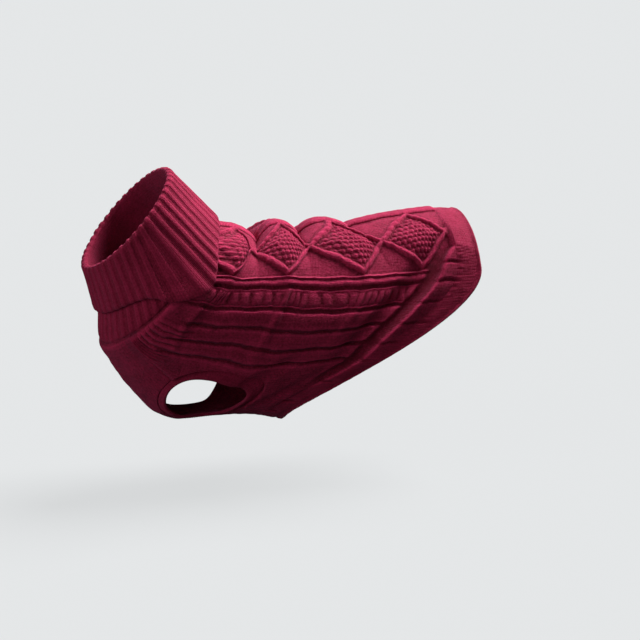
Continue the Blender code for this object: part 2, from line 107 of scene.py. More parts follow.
# %% floor and backdrop
PALE = (0.775, 0.791, 0.799)
FLOOR_SIZE = 24.0
FLOOR_GLOW = 0.86
FLOOR_SHADE = 0.06
FLOOR_BOUNCE = 0.05
AMBIENT = 0.03

bpy.ops.mesh.primitive_plane_add(size=FLOOR_SIZE, location=(0.0, 0.0, FLOOR_Z))
floor = bpy.context.object
floor.name = "floor"

stage_paint = bpy.data.materials.new("stage_paint")
stage_paint.use_nodes = True
tree = stage_paint.node_tree
paint = tree.nodes["Principled BSDF"]
paint.inputs["Roughness"].default_value = 1.0
paint.inputs["Specular IOR Level"].default_value = 0.0
paint.inputs["Emission Color"].default_value = (*PALE, 1.0)
rays = tree.nodes.new("ShaderNodeLightPath")
glow = tree.nodes.new("ShaderNodeMath")
glow.operation = "MULTIPLY"
glow.inputs[1].default_value = FLOOR_GLOW
tree.links.new(rays.outputs["Is Camera Ray"], glow.inputs[0])
tree.links.new(glow.outputs[0], paint.inputs["Emission Strength"])
shade = tree.nodes.new("ShaderNodeMix")
shade.data_type = "RGBA"
shade.inputs[6].default_value = (FLOOR_BOUNCE, FLOOR_BOUNCE, FLOOR_BOUNCE, 1.0)
shade.inputs[7].default_value = (*[FLOOR_SHADE * tone for tone in PALE], 1.0)
tree.links.new(rays.outputs["Is Camera Ray"], shade.inputs[0])
tree.links.new(shade.outputs[2], paint.inputs["Base Color"])
floor.data.materials.append(stage_paint)

world = bpy.data.worlds.new("studio")
bpy.context.scene.world = world
world.use_nodes = True
sky = world.node_tree
backdrop = sky.nodes["Background"]
backdrop.inputs["Color"].default_value = (*PALE, 1.0)
sky_rays = sky.nodes.new("ShaderNodeLightPath")
strength = sky.nodes.new("ShaderNodeMapRange")
strength.inputs["To Min"].default_value = AMBIENT
strength.inputs["To Max"].default_value = 1.0
sky.links.new(sky_rays.outputs["Is Camera Ray"], strength.inputs["Value"])
sky.links.new(strength.outputs["Result"], backdrop.inputs["Strength"])
print("stage:", floor.name)

# %% [markdown]
# ## The worn form
# A knitted cloth has its own map. A **course** is one row of stitches, counted here in millimetres from
# the neck seam towards the hem (negative up the neck), and a **wale** is one column of stitches,
# counted in millimetres round the girth from the spine. Any pattern is easy to draw on that map, and one
# function then puts each point of it onto the body of the sweater. The table below is that body:
# for a few courses it says where the spine and the lowest point lie and how wide the section is.
# Modelling the folded form by hand would fix the pattern to one shape; with the map, both stay free.

# %% sections of the form, millimetres
Section = namedtuple(
    "Section", "course back_x back_z belly_x belly_z back_half_width belly_half_width sweep lean"
)
SECTIONS = (
    Section(-80.0, -57.0, 54.0, -131.0, -34.0, 54.0, 54.0, 0.0, 0.0),
    Section(-40.0, -33.0, 26.0, -120.0, -71.0, 60.0, 60.0, 0.0, 0.0),
    Section(0.0, -8.0, 1.0, -120.0, -106.0, 67.0, 65.0, 0.0, -5.0),
    Section(16.0, 4.0, 0.0, -111.0, -123.0, 68.0, 66.0, 0.07, 20.0),
    Section(44.0, 24.0, 0.0, -101.0, -139.0, 70.0, 66.0, 0.25, 5.0),
    Section(80.0, 52.0, 0.0, -84.0, -160.0, 71.0, 66.0, 0.5, 12.0),
    Section(116.0, 76.0, 0.0, -68.0, -176.0, 71.0, 67.0, 0.7, 6.0),
    Section(152.0, 97.0, 0.0, -47.0, -183.0, 70.0, 69.0, 0.85, 34.0),
    Section(188.0, 138.0, 0.5, -22.0, -182.0, 68.0, 70.0, 0.95, 18.0),
    Section(224.0, 184.0, 3.0, 4.0, -182.0, 66.0, 70.0, 1.0, 7.0),
    Section(260.0, 218.0, 5.5, 31.0, -184.0, 65.0, 69.0, 1.0, 0.0),
    Section(302.0, 245.0, 3.0, 58.0, -187.0, 67.0, 68.0, 1.0, 4.0),
)
SWEEP_FROM = 60.0
SWEEP_TO = 158.0
LEAN_END = 115.0
GIRTH_HALF_WIDTH = 71.0
GIRTH_HALF_HEIGHT = 96.0
CLOTH = 2.6
HEM_SEAM = 267.0
HEM_EDGE = 302.0
NECK_RISE = 80.0
PANEL_SEAM = 213.5
SEAM_SLANT = 0.15
FAN = 26.0
FAN_END = 110.0
LAST_GROOVE = 168.0
print("sections:", len(SECTIONS))

# %% [markdown]
# Worn cloth buckles. On the back it is pushed into rounded humps with sharp valleys between them, and
# on the flanks it sinks into soft troughs. A hump is a sine arch raised to a power below one, which
# keeps its top full and its valleys narrow; a trough is a bell. The deepest trough lies in front of the
# hem, where the hem rolls outwards, and its ends bow back; a narrower one cuts in right beside the roll.
# Three troughs have a negative depth: they are the slight ridges that run down the flank from the
# collar and from the humps.

# %% folds
Valley = namedtuple("Valley", "spine_x slant depth")
VALLEYS = (
    Valley(-42.0, -20.0, 6.0),
    Valley(35.0, -16.0, 21.0),
    Valley(76.0, -3.0, 13.0),
    Valley(124.0, 31.0, 8.0),
    Valley(262.0, 0.0, 4.0),
)
VALLEY_SLANT_ANGLE = 57.0
VALLEY_SLANT_LIMIT = 1.2
ARCH = 0.65
VALLEY_REACH = 78.0
BUCKLING_STARTS = (-12.0, 6.0)
Trough = namedtuple("Trough", "course angle half_width half_length depth bow slant")
TROUGHS = (
    Trough(207.0, 79.0, 20.0, 46.0, 10.0, 0.028, 0.0),
    Trough(226.0, 79.0, 11.0, 44.0, 6.0, 0.028, 0.0),
    Trough(40.0, 96.0, 16.0, 24.0, 2.5, 0.0, 0.0),
    Trough(176.0, 116.0, 22.0, 22.0, 2.5, 0.0, 0.0),
    Trough(240.0, 132.0, 16.0, 22.0, 3.0, 0.0, 0.0),
    Trough(10.0, 85.0, 9.0, 44.0, -3.0, 0.0105, 0.64),
    Trough(94.0, 79.0, 9.0, 42.0, -2.6, 0.015, 0.84),
    Trough(166.0, 79.0, 9.0, 32.0, -1.8, 0.015, 0.84),
)
print("valleys:", len(VALLEYS), "troughs:", len(TROUGHS))

# %% [markdown]
# Four small functions draw every shape that follows. `through` runs a smooth curve through the rows of
# a table, `ease` is a step with rounded corners, `plateau` is a step up and one down, and `bell` is a
# soft bump. Blender's own curves could do the first, but here whole grids of points go through it at
# once.

# %% smooth curves
def through(x, knots, values):
    """Smooth curve through the rows of a table that never swings past a row's own value."""
    knots = np.asarray(knots, float)
    values = np.asarray(values, float)
    step = np.diff(knots)
    rise = np.diff(values) / step
    same_way = rise[:-1] * rise[1:] > 0
    total = np.where(same_way, rise[:-1] + rise[1:], 1.0)
    inner = np.where(same_way, 2 * rise[:-1] * rise[1:] / total, 0.0)
    slopes = np.concatenate([rise[:1], inner, rise[-1:]])
    x = np.clip(np.asarray(x, float), knots[0], knots[-1])
    i = np.clip(np.searchsorted(knots, x, side="right") - 1, 0, len(knots) - 2)
    u = (x - knots[i]) / step[i]
    near = slopes[i] * step[i]
    far = slopes[i + 1] * step[i]
    climb = values[i + 1] - values[i]
    return values[i] + u * near + u**2 * (3 * climb - 2 * near - far) + u**3 * (near + far - 2 * climb)


def column(name, course):
    """One column of the section table at any course; beyond its ends it runs on straight."""
    knots = [s.course for s in SECTIONS]
    values = [getattr(s, name) for s in SECTIONS]
    course = np.asarray(course, float)
    over = course - np.clip(course, knots[0], knots[-1])
    first = (values[1] - values[0]) / (knots[1] - knots[0])
    last = (values[-1] - values[-2]) / (knots[-1] - knots[-2])
    return through(course, knots, values) + np.where(over < 0, first, last) * over


def ease(x, start, end):
    """0 before start, 1 after end, and smooth between."""
    u = np.clip((np.asarray(x, float) - start) / (end - start), 0, 1)
    return u * u * (3 - 2 * u)


def plateau(x, rise, fall):
    """1 between two smooth steps and 0 outside them; each step is given by its start and end."""
    return ease(x, *rise) * (1 - ease(x, *fall))


def bell(x, middle, half_width):
    """A soft bump: 1 at its middle and 0 from half_width on."""
    u = np.clip(np.abs(np.asarray(x, float) - middle) / half_width, 0, 1)
    return (1 - u * u) ** 2


print("ease(0.25, 0, 1) = %.3f, bell(0.25, 0, 1) = %.3f" % (ease(0.25, 0, 1), bell(0.25, 0, 1)))

# %% [markdown]
# The humps lie between the valleys. Each valley leans as it runs down the side and has died out at the
# widest part of the flank, so that the folds belong to the back alone.

# %% buckling
def buckle(x, angle):
    """Depth of the folds across the back."""
    lean = np.clip(angle / VALLEY_SLANT_ANGLE, 0, VALLEY_SLANT_LIMIT)
    places = np.array([v.spine_x + v.slant * lean for v in VALLEYS])
    depths = np.array([v.depth for v in VALLEYS])
    found = np.zeros_like(x)
    for i in range(len(VALLEYS) - 1):
        u = (x - places[i]) / (places[i + 1] - places[i])
        arch = np.sin(np.pi * np.clip(u, 0, 1)) ** ARCH
        depth = depths[i] + (depths[i + 1] - depths[i]) * u
        found = np.where((u >= 0) & (u < 1), depth * (1 - arch), found)
    return found * 0.5 * (1 + np.cos(np.pi * np.clip(angle / VALLEY_REACH, 0, 1)))


deepest = buckle(np.array([VALLEYS[1].spine_x]), np.array([0.0]))[0]
print("deepest valley on the spine: %.1f mm" % deepest)

# %% [markdown]
# A wale is a length round the girth, while a point of the body is found by its angle from the spine. The
# girth is an ellipse, so a table of its arc length turns one into the other.

# %% from wales to angles
def girth_table():
    """Angles from the spine and the arc length of the girth ellipse up to each of them."""
    angle = np.linspace(0, 180, 721)
    x = GIRTH_HALF_WIDTH * np.sin(np.radians(angle))
    z = GIRTH_HALF_HEIGHT * np.cos(np.radians(angle))
    arc = np.concatenate([[0], np.cumsum(np.hypot(np.diff(x), np.diff(z)))])
    return angle, arc


GIRTH_ANGLES, GIRTH_ARC = girth_table()
HALF_GIRTH = float(GIRTH_ARC[-1])


def angle_at(wale, course):
    """Degrees from the spine of a wale. The wales fan out over the shoulders. Left is positive, and a
    wale past the middle of the belly runs up the other side."""
    wale, course = np.broadcast_arrays(np.asarray(wale, float), np.asarray(course, float))
    over = wale > HALF_GIRTH
    place = np.abs(np.where(over, 2 * HALF_GIRTH - wale, wale))
    spread = np.minimum(place / LAST_GROOVE, (PANEL_SEAM - place) / (PANEL_SEAM - LAST_GROOVE))
    place = place + FAN * np.maximum(spread, 0) * (1 - ease(course, 0, FAN_END))
    side = np.where(over, -1.0, np.where(wale < 0, -1.0, 1.0))
    return side * np.interp(place, GIRTH_ARC, GIRTH_ANGLES)


print("half girth %.1f mm" % HALF_GIRTH)

# %% [markdown]
# `cloth` is the function that dresses the map. It turns a course, an angle round the body and an
# offset into a point: first the smooth form, then the folds, then the offset along the outward normal.

# %% from the map to the body
NORMAL_COURSES = 8.0
NORMAL_DEGREES = 3.0


def smooth_form(course, angle):
    """The worn form without its folds."""
    turn = np.abs(angle)
    flat = (1 - np.cos(np.radians(angle))) / 2
    hung = ease(turn, SWEEP_FROM, SWEEP_TO)
    forward = flat + (hung - flat) * np.clip(column("sweep", course), 0, 1)
    back_x, belly_x = column("back_x", course), column("belly_x", course)
    back_z, belly_z = column("back_z", course), column("belly_z", course)
    lean = column("lean", course) * np.sin(np.pi * np.clip(turn / LEAN_END, 0, 1))
    back_wide, belly_wide = column("back_half_width", course), column("belly_half_width", course)
    wide = back_wide * (1 - forward) + belly_wide * forward
    x = back_x + (belly_x - back_x) * forward + lean
    z = belly_z + (back_z - belly_z) * (1 - flat)
    return np.stack([x, -wide * np.sin(np.radians(angle)), z], axis=-1)


def outward(course, angle):
    """Unit normal of the smooth form, measured over a wide step."""
    step, turn = NORMAL_COURSES, NORMAL_DEGREES
    along = smooth_form(course + step, angle) - smooth_form(course - step, angle)
    across = smooth_form(course, angle + turn) - smooth_form(course, angle - turn)
    normal = np.cross(across, along)
    return normal / np.linalg.norm(normal, axis=-1, keepdims=True)


def cloth(course, angle, offset=0.0):
    """A point of the cloth: the worn form with its folds, moved out by offset, all in millimetres."""
    course, angle, offset = np.broadcast_arrays(
        np.asarray(course, float), np.asarray(angle, float), np.asarray(offset, float)
    )
    base = smooth_form(course, angle)
    depth = buckle(base[..., 0], np.abs(angle)) * ease(course, *BUCKLING_STARTS)
    for t in TROUGHS:
        aside = np.abs(angle) - t.angle
        along = bell(course - t.slant * aside - t.bow * aside**2, t.course, t.half_width)
        depth = depth + t.depth * along * bell(aside, 0.0, t.half_length)
    return base + outward(course, angle) * (offset - depth)[..., None]


print("withers at", np.round(cloth(0.0, 0.0), 1), "mm")

# %% [markdown]
# ## Making cloth
# Every piece is a thin closed shell: a fine outer face that carries the knitting, a coarser inner face
# and the rims that join them. A Solidify modifier would copy the fine relief to the inside and double
# the mesh for nothing, so the two faces are laid as grids of their own and stitched along their rims.
# Each point keeps its place on the stitch map as a UV coordinate, one unit to a stitch, for the yarn in
# the material, and an attribute that says how far it stands out from the cloth around it, from which
# the material paints shade into the crevices and a highlight onto the crests.
#
# No hand knitter keeps every stitch alike: columns wander by a millimetre and the cloth is a little
# lumpy. `uneven` gives that wander by sine waves inside sine waves, so it is the same at every run and
# runs on smoothly from one piece to the next.

# %% crests and wander
STITCH_WIDE = 2.75
STITCH_TALL = 72.0 / 28
CREST_CELLS = 3
CREST_FULL = 2.2
INSIDE_TONE = 0.35
WANDER = 1.0
WANDER_LENGTH = 24.0
JITTER = 0.45
JITTER_LENGTH = 8.0
LUMP = 0.3
LUMP_LENGTH = 9.0
EDGE_CALM = 10.0
Wave = namedtuple("Wave", "axis rate phase bend bent_by bend_rate bend_phase")
WAVES = (
    Wave(0, 0.83, 0.6, 1.3, 1, 0.41, 0.9),
    Wave(1, 0.71, 1.9, 1.1, 2, 0.53, 2.1),
    Wave(2, 0.89, 3.1, 1.2, 0, 0.47, 0.3),
)


def crest(height, wraps=False):
    """How far each point of a grid stands out from its surroundings: 0 in a crevice, 1 on a ridge."""
    mode = "wrap" if wraps else "edge"
    wide = np.pad(height, CREST_CELLS, mode=mode)
    rows, columns = height.shape
    total = np.zeros(height.shape)
    count = 2 * CREST_CELLS + 1
    for i in range(count):
        for j in range(count):
            total += wide[i : i + rows, j : j + columns]
    return np.clip(0.5 + (height - total / count**2) / CREST_FULL, 0, 1)


def uneven(points, length):
    """Smooth irregularity from -1 to 1, with bumps about length millimetres apart."""
    turns = np.moveaxis(points * (2 * np.pi / length), -1, 0)
    total = 0.0
    for w in WAVES:
        bend = w.bend * np.sin(w.bend_rate * turns[w.bent_by] + w.bend_phase)
        total = total + np.sin(w.rate * turns[w.axis] + bend + w.phase)
    return total / len(WAVES)


print("stitch: %.2f x %.2f mm" % (STITCH_WIDE, STITCH_TALL))

# %% [markdown]
# A face of a panel is a grid: a row for each course and a column for each wale. Where the panel narrows,
# the outer columns close up into its edge, as decreased stitches do, and the cells beyond are left out.
# The index grid remembers which point each cell's corner has become.

# %% one face of a panel
Face = namedtuple("Face", "points courses wales height index")


def lay_face(courses, wales, reach, lift, wander=0.0):
    """One face of a panel. reach(course) gives the last wale on each side: columns past it end there,
    as decreased stitches do. lift(course, wale) is the height over the inner face."""
    courses = np.asarray(courses, float)
    wales = np.asarray(wales, float)
    low, high = np.array([reach(c) for c in courses]).T
    grid_wale = np.clip(wales[None, :], low[:, None], high[:, None])
    grid_course = np.repeat(courses[:, None], len(wales), axis=1)
    first = np.array([np.searchsorted(wales, a, side="right") - 1 for a in low])
    last = np.array([np.searchsorted(wales, b, side="left") for b in high])
    first = np.clip(first, 0, len(wales) - 1)
    last = np.clip(last, 0, len(wales) - 1)
    column_index = np.clip(np.arange(len(wales))[None, :], first[:, None], last[:, None])
    index = np.arange(len(courses))[:, None] * len(wales) + column_index
    height = lift(grid_course, grid_wale)
    even = cloth(grid_course, angle_at(grid_wale, grid_course))
    from_rows = np.minimum(grid_course - courses[0], courses[-1] - grid_course)
    from_sides = np.minimum(grid_wale - low[:, None], high[:, None] - grid_wale)
    free = wander * ease(np.minimum(from_rows, from_sides), 0.0, EDGE_CALM)
    wale_drift, course_drift = (
        free * (WANDER * uneven(at, WANDER_LENGTH) + JITTER * uneven(at, JITTER_LENGTH))
        for at in (even, even[..., ::-1])
    )
    lumps = free * LUMP * uneven(even, LUMP_LENGTH)
    place = grid_course + course_drift
    points = cloth(place, angle_at(grid_wale + wale_drift, place), height + lumps)
    return Face(points, grid_course, grid_wale, height, index)


print("a face keeps:", Face._fields)

# %% [markdown]
# Two functions turn points into faces: one fills a grid with quads, the other joins two rows of points
# that don't have the same number of points, as at the rim between the fine and the coarse face.

# %% quads and rims
def grid_faces(index, start=0):
    """Quads over an index grid; cells that have closed up become triangles or nothing."""
    corners_of = (index[:-1, :-1], index[:-1, 1:], index[1:, 1:], index[1:, :-1])
    faces = []
    for quad in zip(*[(grid.ravel() + start).tolist() for grid in corners_of]):
        corners = list(dict.fromkeys(quad))
        if len(corners) > 2:
            faces.append(corners)
    return faces


def strip(first, second, places_first, places_second):
    """Triangles between two rows of points of different counts, matched by their places."""
    i = j = 0
    faces = []
    while i < len(first) - 1 or j < len(second) - 1:
        ahead_first = places_first[i + 1] if i < len(first) - 1 else np.inf
        ahead_second = places_second[j + 1] if j < len(second) - 1 else np.inf
        if ahead_first <= ahead_second:
            faces.append((first[i], first[i + 1], second[j]))
            i += 1
        else:
            faces.append((first[i], second[j + 1], second[j]))
            j += 1
    return faces


print("quads in a 3 x 3 grid:", len(grid_faces(np.arange(9).reshape(3, 3))))

# %% [markdown]
# Every mesh is finished alike. Points that meet are merged, the faces are turned outwards, and all is
# shaded smooth but for the sharp corners at the seams.

# %% finish a mesh
SHARP_ANGLE = 75.0
MERGE = 1e-6


def finish_mesh(mesh, wales, courses, crests):
    """Writes each point's stitch and crest, turns the faces outwards and shades them smooth."""
    corner = np.empty(len(mesh.loops), np.int32)
    mesh.loops.foreach_get("vertex_index", corner)
    places = np.stack([wales / STITCH_WIDE, courses / STITCH_TALL], axis=-1)[corner]
    # The relief attribute carries the painted shade and painted highlight of the wool's colour.
    relief = mesh.attributes.new("relief", "FLOAT", "POINT")
    relief.data.foreach_set("value", crests.astype(np.float32))
    stitches = mesh.uv_layers[0] if mesh.uv_layers else mesh.uv_layers.new()
    stitches.name = "stitches"
    stitches.data.foreach_set("uv", places.ravel().astype(np.float32))
    bm = bmesh.new()
    bm.from_mesh(mesh)
    bmesh.ops.delete(bm, geom=[v for v in bm.verts if not v.link_faces], context="VERTS")
    bmesh.ops.remove_doubles(bm, verts=bm.verts, dist=MERGE)
    bmesh.ops.recalc_face_normals(bm, faces=bm.faces)
    if bm.calc_volume(signed=True) < 0:
        bmesh.ops.reverse_faces(bm, faces=bm.faces)
    bm.to_mesh(mesh)
    bm.free()
    mesh.shade_smooth()
    mesh.set_sharp_from_angle(angle=np.radians(SHARP_ANGLE))
    print(mesh.name, "faces:", len(mesh.polygons))


print("corners over %.0f degrees stay sharp" % SHARP_ANGLE)

# %% [markdown]
# A panel is its two faces and the rims between them, as one closed mesh. It is made from plain lists of
# points and faces, because no primitive has rows that close up along a slanting edge.

# %% a closed panel
def panel(name, outer, inner, shade=0.0):
    """A closed panel from its outer and inner face. shade is painted shade, taken off the crests' tone
    where a deep fold keeps the light out."""
    shift = outer.points.shape[0] * outer.points.shape[1]
    points = np.concatenate([outer.points.reshape(-1, 3), inner.points.reshape(-1, 3)])
    faces = grid_faces(outer.index) + grid_faces(inner.index, shift)
    for row in (0, -1):
        near, near_at = np.unique(outer.index[row], return_index=True)
        far, far_at = np.unique(inner.index[row], return_index=True)
        faces += strip(
            near.tolist(), (far + shift).tolist(), outer.wales[row][near_at], inner.wales[row][far_at]
        )
    for side in (0, -1):
        near = outer.index[:, side].tolist()
        far = (inner.index[:, side] + shift).tolist()
        faces += strip(near, far, outer.courses[:, 0], inner.courses[:, 0])
    mesh = bpy.data.meshes.new(name)
    mesh.from_pydata((points * MM).tolist(), [], faces)
    piece = bpy.data.objects.new(name, mesh)
    bpy.context.collection.objects.link(piece)
    wales = np.concatenate([outer.wales.ravel(), inner.wales.ravel()])
    courses = np.concatenate([outer.courses.ravel(), inner.courses.ravel()])
    # Painted shade: the crest tone is lowered where a deep fold keeps the light out.
    shown = np.clip(crest(outer.height) - shade, 0, 1)
    crests = np.concatenate([shown.ravel(), np.full(inner.height.size, INSIDE_TONE)])
    finish_mesh(mesh, wales, courses, crests)
    return piece


print("inside tone:", INSIDE_TONE)

# %% [markdown]
# ## The wool
# Knitting yarn is matt and slightly hairy. Its colour is painted deepest between the stitches, as
# painted shade where light is lost, and paler on the crests, partly as a painted highlight where they
# catch the light and partly for the fibres that stand up there. The body and the ribs are the same yarn,
# but ribbing is denser, so it gets a pair of colours of its own.

# %% wool colours
# Painted shade and highlight: the deep colours are painted shade in the crevices, and the crest colours
# are partly painted highlight and partly the paler fibres of the ridges.
SHADED_DEEP_WOOL = (0.145, 0.0050, 0.0195)
LIT_FUZZY_CREST_WOOL = (0.525, 0.0250, 0.094)
SHADED_DEEP_RIB = (0.200, 0.0070, 0.028)
LIT_FUZZY_CREST_RIB = (0.455, 0.0210, 0.080)
WOOL_FINISH = {
    "Roughness": 0.92,
    "Specular IOR Level": 0.15,
    "Sheen Weight": 0.12,
    "Sheen Roughness": 0.45,
    "Sheen Tint": (1.0, 0.35, 0.70, 1.0),
}
print("crest colour over deep colour, red: %.1f" % (LIT_FUZZY_CREST_WOOL[0] / SHADED_DEEP_WOOL[0]))

# %% [markdown]
# One stitch of plain knitting is a pair of slanting legs, like a letter V. The next node chain draws it
# over each unit of the stitch map, from sine waves across and along. A wave texture could only draw
# straight stripes.

# %% one stitch of the map
LEG_LEAN = 1.3
LEG_FULLNESS = 0.6
LOOP_FULLNESS = 0.5


def math_node(tree, operation, *inputs):
    """A math node with its inputs set to numbers or linked to sockets."""
    node = tree.nodes.new("ShaderNodeMath")
    node.operation = operation
    for socket, value in zip(node.inputs, inputs):
        if isinstance(value, (int, float)):
            socket.default_value = value
        else:
            tree.links.new(value, socket)
    return node.outputs[0]


def stitch_shape(tree):
    """Height of the yarn within a stitch: 0 between the legs and 1 on top of them."""
    stitches = tree.nodes.new("ShaderNodeUVMap")
    stitches.uv_map = "stitches"
    split = tree.nodes.new("ShaderNodeSeparateXYZ")
    tree.links.new(stitches.outputs["UV"], split.inputs[0])
    across = math_node(tree, "FRACT", split.outputs["X"])
    from_middle = math_node(tree, "ABSOLUTE", math_node(tree, "SUBTRACT", across, 0.5))
    halves = math_node(tree, "FRACT", math_node(tree, "MULTIPLY", split.outputs["X"], 2.0))
    leg = math_node(tree, "SINE", math_node(tree, "MULTIPLY", halves, np.pi))
    slant = math_node(tree, "MULTIPLY_ADD", from_middle, LEG_LEAN, split.outputs["Y"])
    loop_turn = math_node(tree, "SINE", math_node(tree, "MULTIPLY", slant, np.pi))
    loop = math_node(tree, "ABSOLUTE", loop_turn)
    full_leg = math_node(tree, "POWER", leg, LEG_FULLNESS)
    return math_node(tree, "MULTIPLY", full_leg, math_node(tree, "POWER", loop, LOOP_FULLNESS))


print("a stitch on the map is 1 x 1, on the cloth %.2f x %.2f mm" % (STITCH_WIDE, STITCH_TALL))

# %% [markdown]
# Two noises break up the even colour: fine fibres, a couple of millimetres long, and larger patches, as
# in hand-dyed yarn.

# %% fibres and patches
Noise = namedtuple("Noise", "scale detail roughness")
FIBRES = Noise(480.0, 4.0, 0.7)
PATCHES = Noise(60.0, 3.0, 0.5)


def cloudy(tree, place, noise):
    """A noise texture's value, 0.5 on average."""
    node = tree.nodes.new("ShaderNodeTexNoise")
    node.inputs["Scale"].default_value = noise.scale
    node.inputs["Detail"].default_value = noise.detail
    node.inputs["Roughness"].default_value = noise.roughness
    tree.links.new(place, node.inputs["Vector"])
    return node.outputs["Fac"]


print("fibres %.0f and patches %.0f mm apart" % (1000 / FIBRES.scale, 1000 / PATCHES.scale))

# %% [markdown]
# The material adds up what makes a point pale: the relief attribute and its place in the stitch, which
# paint shade into the crevices and a highlight onto the crests, and the two noises. The sum mixes the
# two colours. The stitch and its fibres also drive a bump, half a millimetre deep, and a slight sheen
# gives the soft edge of hairy yarn.

# %% wool material
# The relief and stitch tones paint shade into crevices and between stitch legs and a highlight on
# crests; the fibre and patch tones are random tone.
BASE_TONE = -0.05
RELIEF_TONE = 0.85
STITCH_MEAN = 0.4
STITCH_TONE = 0.30
FIBRE_TONE = 1.7
PATCH_TONE = 0.6
FIBRE_BUMP = 0.9
YARN_DEPTH = 0.5


def wool(name, deep, ridge):
    """Knitted wool: painted shade between the stitches, painted highlight and pale fibres on the ridges.
    """
    material = bpy.data.materials.new(name)
    material.use_nodes = True
    tree = material.node_tree
    shader = tree.nodes["Principled BSDF"]
    for socket, value in WOOL_FINISH.items():
        shader.inputs[socket].default_value = value
    stitch = stitch_shape(tree)

    place = tree.nodes.new("ShaderNodeTexCoord").outputs["Object"]
    fibres = cloudy(tree, place, FIBRES)
    patches = cloudy(tree, place, PATCHES)

    # Painted shade and highlight: the relief attribute darkens the crevices and lightens the crests.
    relief = tree.nodes.new("ShaderNodeAttribute")
    relief.attribute_name = "relief"
    bright = math_node(tree, "MULTIPLY_ADD", relief.outputs["Fac"], RELIEF_TONE, BASE_TONE)
    for source, mean, tone in (
        (stitch, STITCH_MEAN, STITCH_TONE),
        (fibres, 0.5, FIBRE_TONE),
        (patches, 0.5, PATCH_TONE),
    ):
        above_mean = math_node(tree, "SUBTRACT", source, mean)
        bright = math_node(tree, "ADD", bright, math_node(tree, "MULTIPLY", above_mean, tone))
    colour = tree.nodes.new("ShaderNodeMix")
    colour.data_type = "RGBA"
    colour.clamp_factor = True
    colour.inputs[6].default_value = (*deep, 1.0)
    colour.inputs[7].default_value = (*ridge, 1.0)
    tree.links.new(bright, colour.inputs[0])
    tree.links.new(colour.outputs[2], shader.inputs["Base Color"])

    hairs = math_node(tree, "MULTIPLY", fibres, FIBRE_BUMP)
    yarn = math_node(tree, "ADD", stitch, hairs)
    bump = tree.nodes.new("ShaderNodeBump")
    bump.inputs["Distance"].default_value = YARN_DEPTH * MM
    bump.inputs["Strength"].default_value = 1.0
    tree.links.new(yarn, bump.inputs["Height"])
    tree.links.new(bump.outputs["Normal"], shader.inputs["Normal"])
    return material


body_wool = wool("body_wool", SHADED_DEEP_WOOL, LIT_FUZZY_CREST_WOOL)
rib_wool = wool("rib_wool", SHADED_DEEP_RIB, LIT_FUZZY_CREST_RIB)
print("materials:", body_wool.name, rib_wool.name)

# %% [markdown]
# ## The back panel
# The back is the show side: two chains of diamonds, one on each side of a smooth rib along the spine.
# Travelling cables outline the diamonds and moss stitch fills them; plain triangles lie between. Down
# each flank follow a fine line, a small rope cable and wide ribs. All of it is one height field on the
# stitch map. Carving each cable as its own tube would leave seams where they cross, while heights
# simply add up.
#
# First the grooves. Each lies on a column of the mesh, so that it stays sharp all along, and those on
# the flank start a little way behind the neck seam.

# %% grooves and columns of stitches
HALF_STITCH = STITCH_WIDE / 2
THIRD_STITCH = STITCH_WIDE / 3
RIB_HEIGHT = 3.0
CROWN_HEIGHT = 0.7
CROWN_REACH = 9.0
CROWN_POWER = 0.7
GROOVE_START = 16.0
Groove = namedtuple("Groove", "wale half_width depth starts")


def snapped(wale, step=HALF_STITCH):
    """A wale moved to the nearest column of the mesh."""
    return round(wale / step) * step


GROOVES = (
    Groove(snapped(9.0, THIRD_STITCH), 2.6, 3.2, -20.0),
    Groove(snapped(93.5), 2.8, 4.2, -8.0),
    Groove(snapped(115.0), 3.1, 4.0, 2.0),
    Groove(snapped(135.0), 2.7, 3.7, 12.0),
    Groove(snapped(152.0), 2.5, 3.4, 18.0),
    Groove(snapped(168.0), 2.5, 3.4, 24.0),
)


def cuts(course, wale):
    """Depth of the body's grooves."""
    each = [
        g.depth * bell(wale, g.wale, g.half_width) * ease(course, g.starts, g.starts + GROOVE_START)
        for g in GROOVES
    ]
    return np.max(each, axis=0)


def crown(wale):
    """Ribs are a little higher in their middle than beside a groove."""
    nearest = np.min([np.abs(wale - g.wale) for g in GROOVES], axis=0)
    return CROWN_HEIGHT * np.clip(nearest / CROWN_REACH, 0, 1) ** CROWN_POWER


def ripple(wale, pitch):
    """Waves down the cloth, 0 on the spine and 1 half a pitch from it."""
    return 0.5 - 0.5 * np.cos(2 * np.pi * wale / pitch)


def fine_wales(wale, height):
    """The columns of stitches themselves: low at the edge of each stitch and high in its middle."""
    return height * ripple(wale, STITCH_WIDE)


print("grooves at", [round(g.wale, 1) for g in GROOVES])

# %% [markdown]
# Moss stitch is a field of small round bumps in staggered rows: every other stitch is turned over, and
# the next row turns the others. Each bump is a low oval dome here. The travelling cables stand over
# it: round in section, with a shallow crease wherever their two strands cross.

# %% diamonds
DIAMOND_MIDDLE = 45.0
DIAMOND_HALF_WIDTH = 33.0
DIAMOND_LENGTH = 72.0
DIAMOND_JOINT = 44.0
FIRST_HALF = 28.0
CABLE_HEIGHT = 3.9
CABLE_HALF_WIDTH = 3.5
CABLE_FULLNESS = 0.7
CABLE_TWISTS = 6
TWIST_DEPTH = 1.1
DIAMOND_PUFF = 2.4
PUFF_ENDS = 4.5 * CABLE_HALF_WIDTH
MOSS_STARTS = (CABLE_HALF_WIDTH - 0.5, CABLE_HALF_WIDTH + 1.5)
PANEL_GROUND = 0.6
PLAIN_WALES = 0.25
BEAD_HEIGHT = 1.5
BEAD_LONG = 2 * STITCH_TALL
BEAD_WIDE = 4 * STITCH_WIDE
BEAD_RADII = (2.0, 2.6)


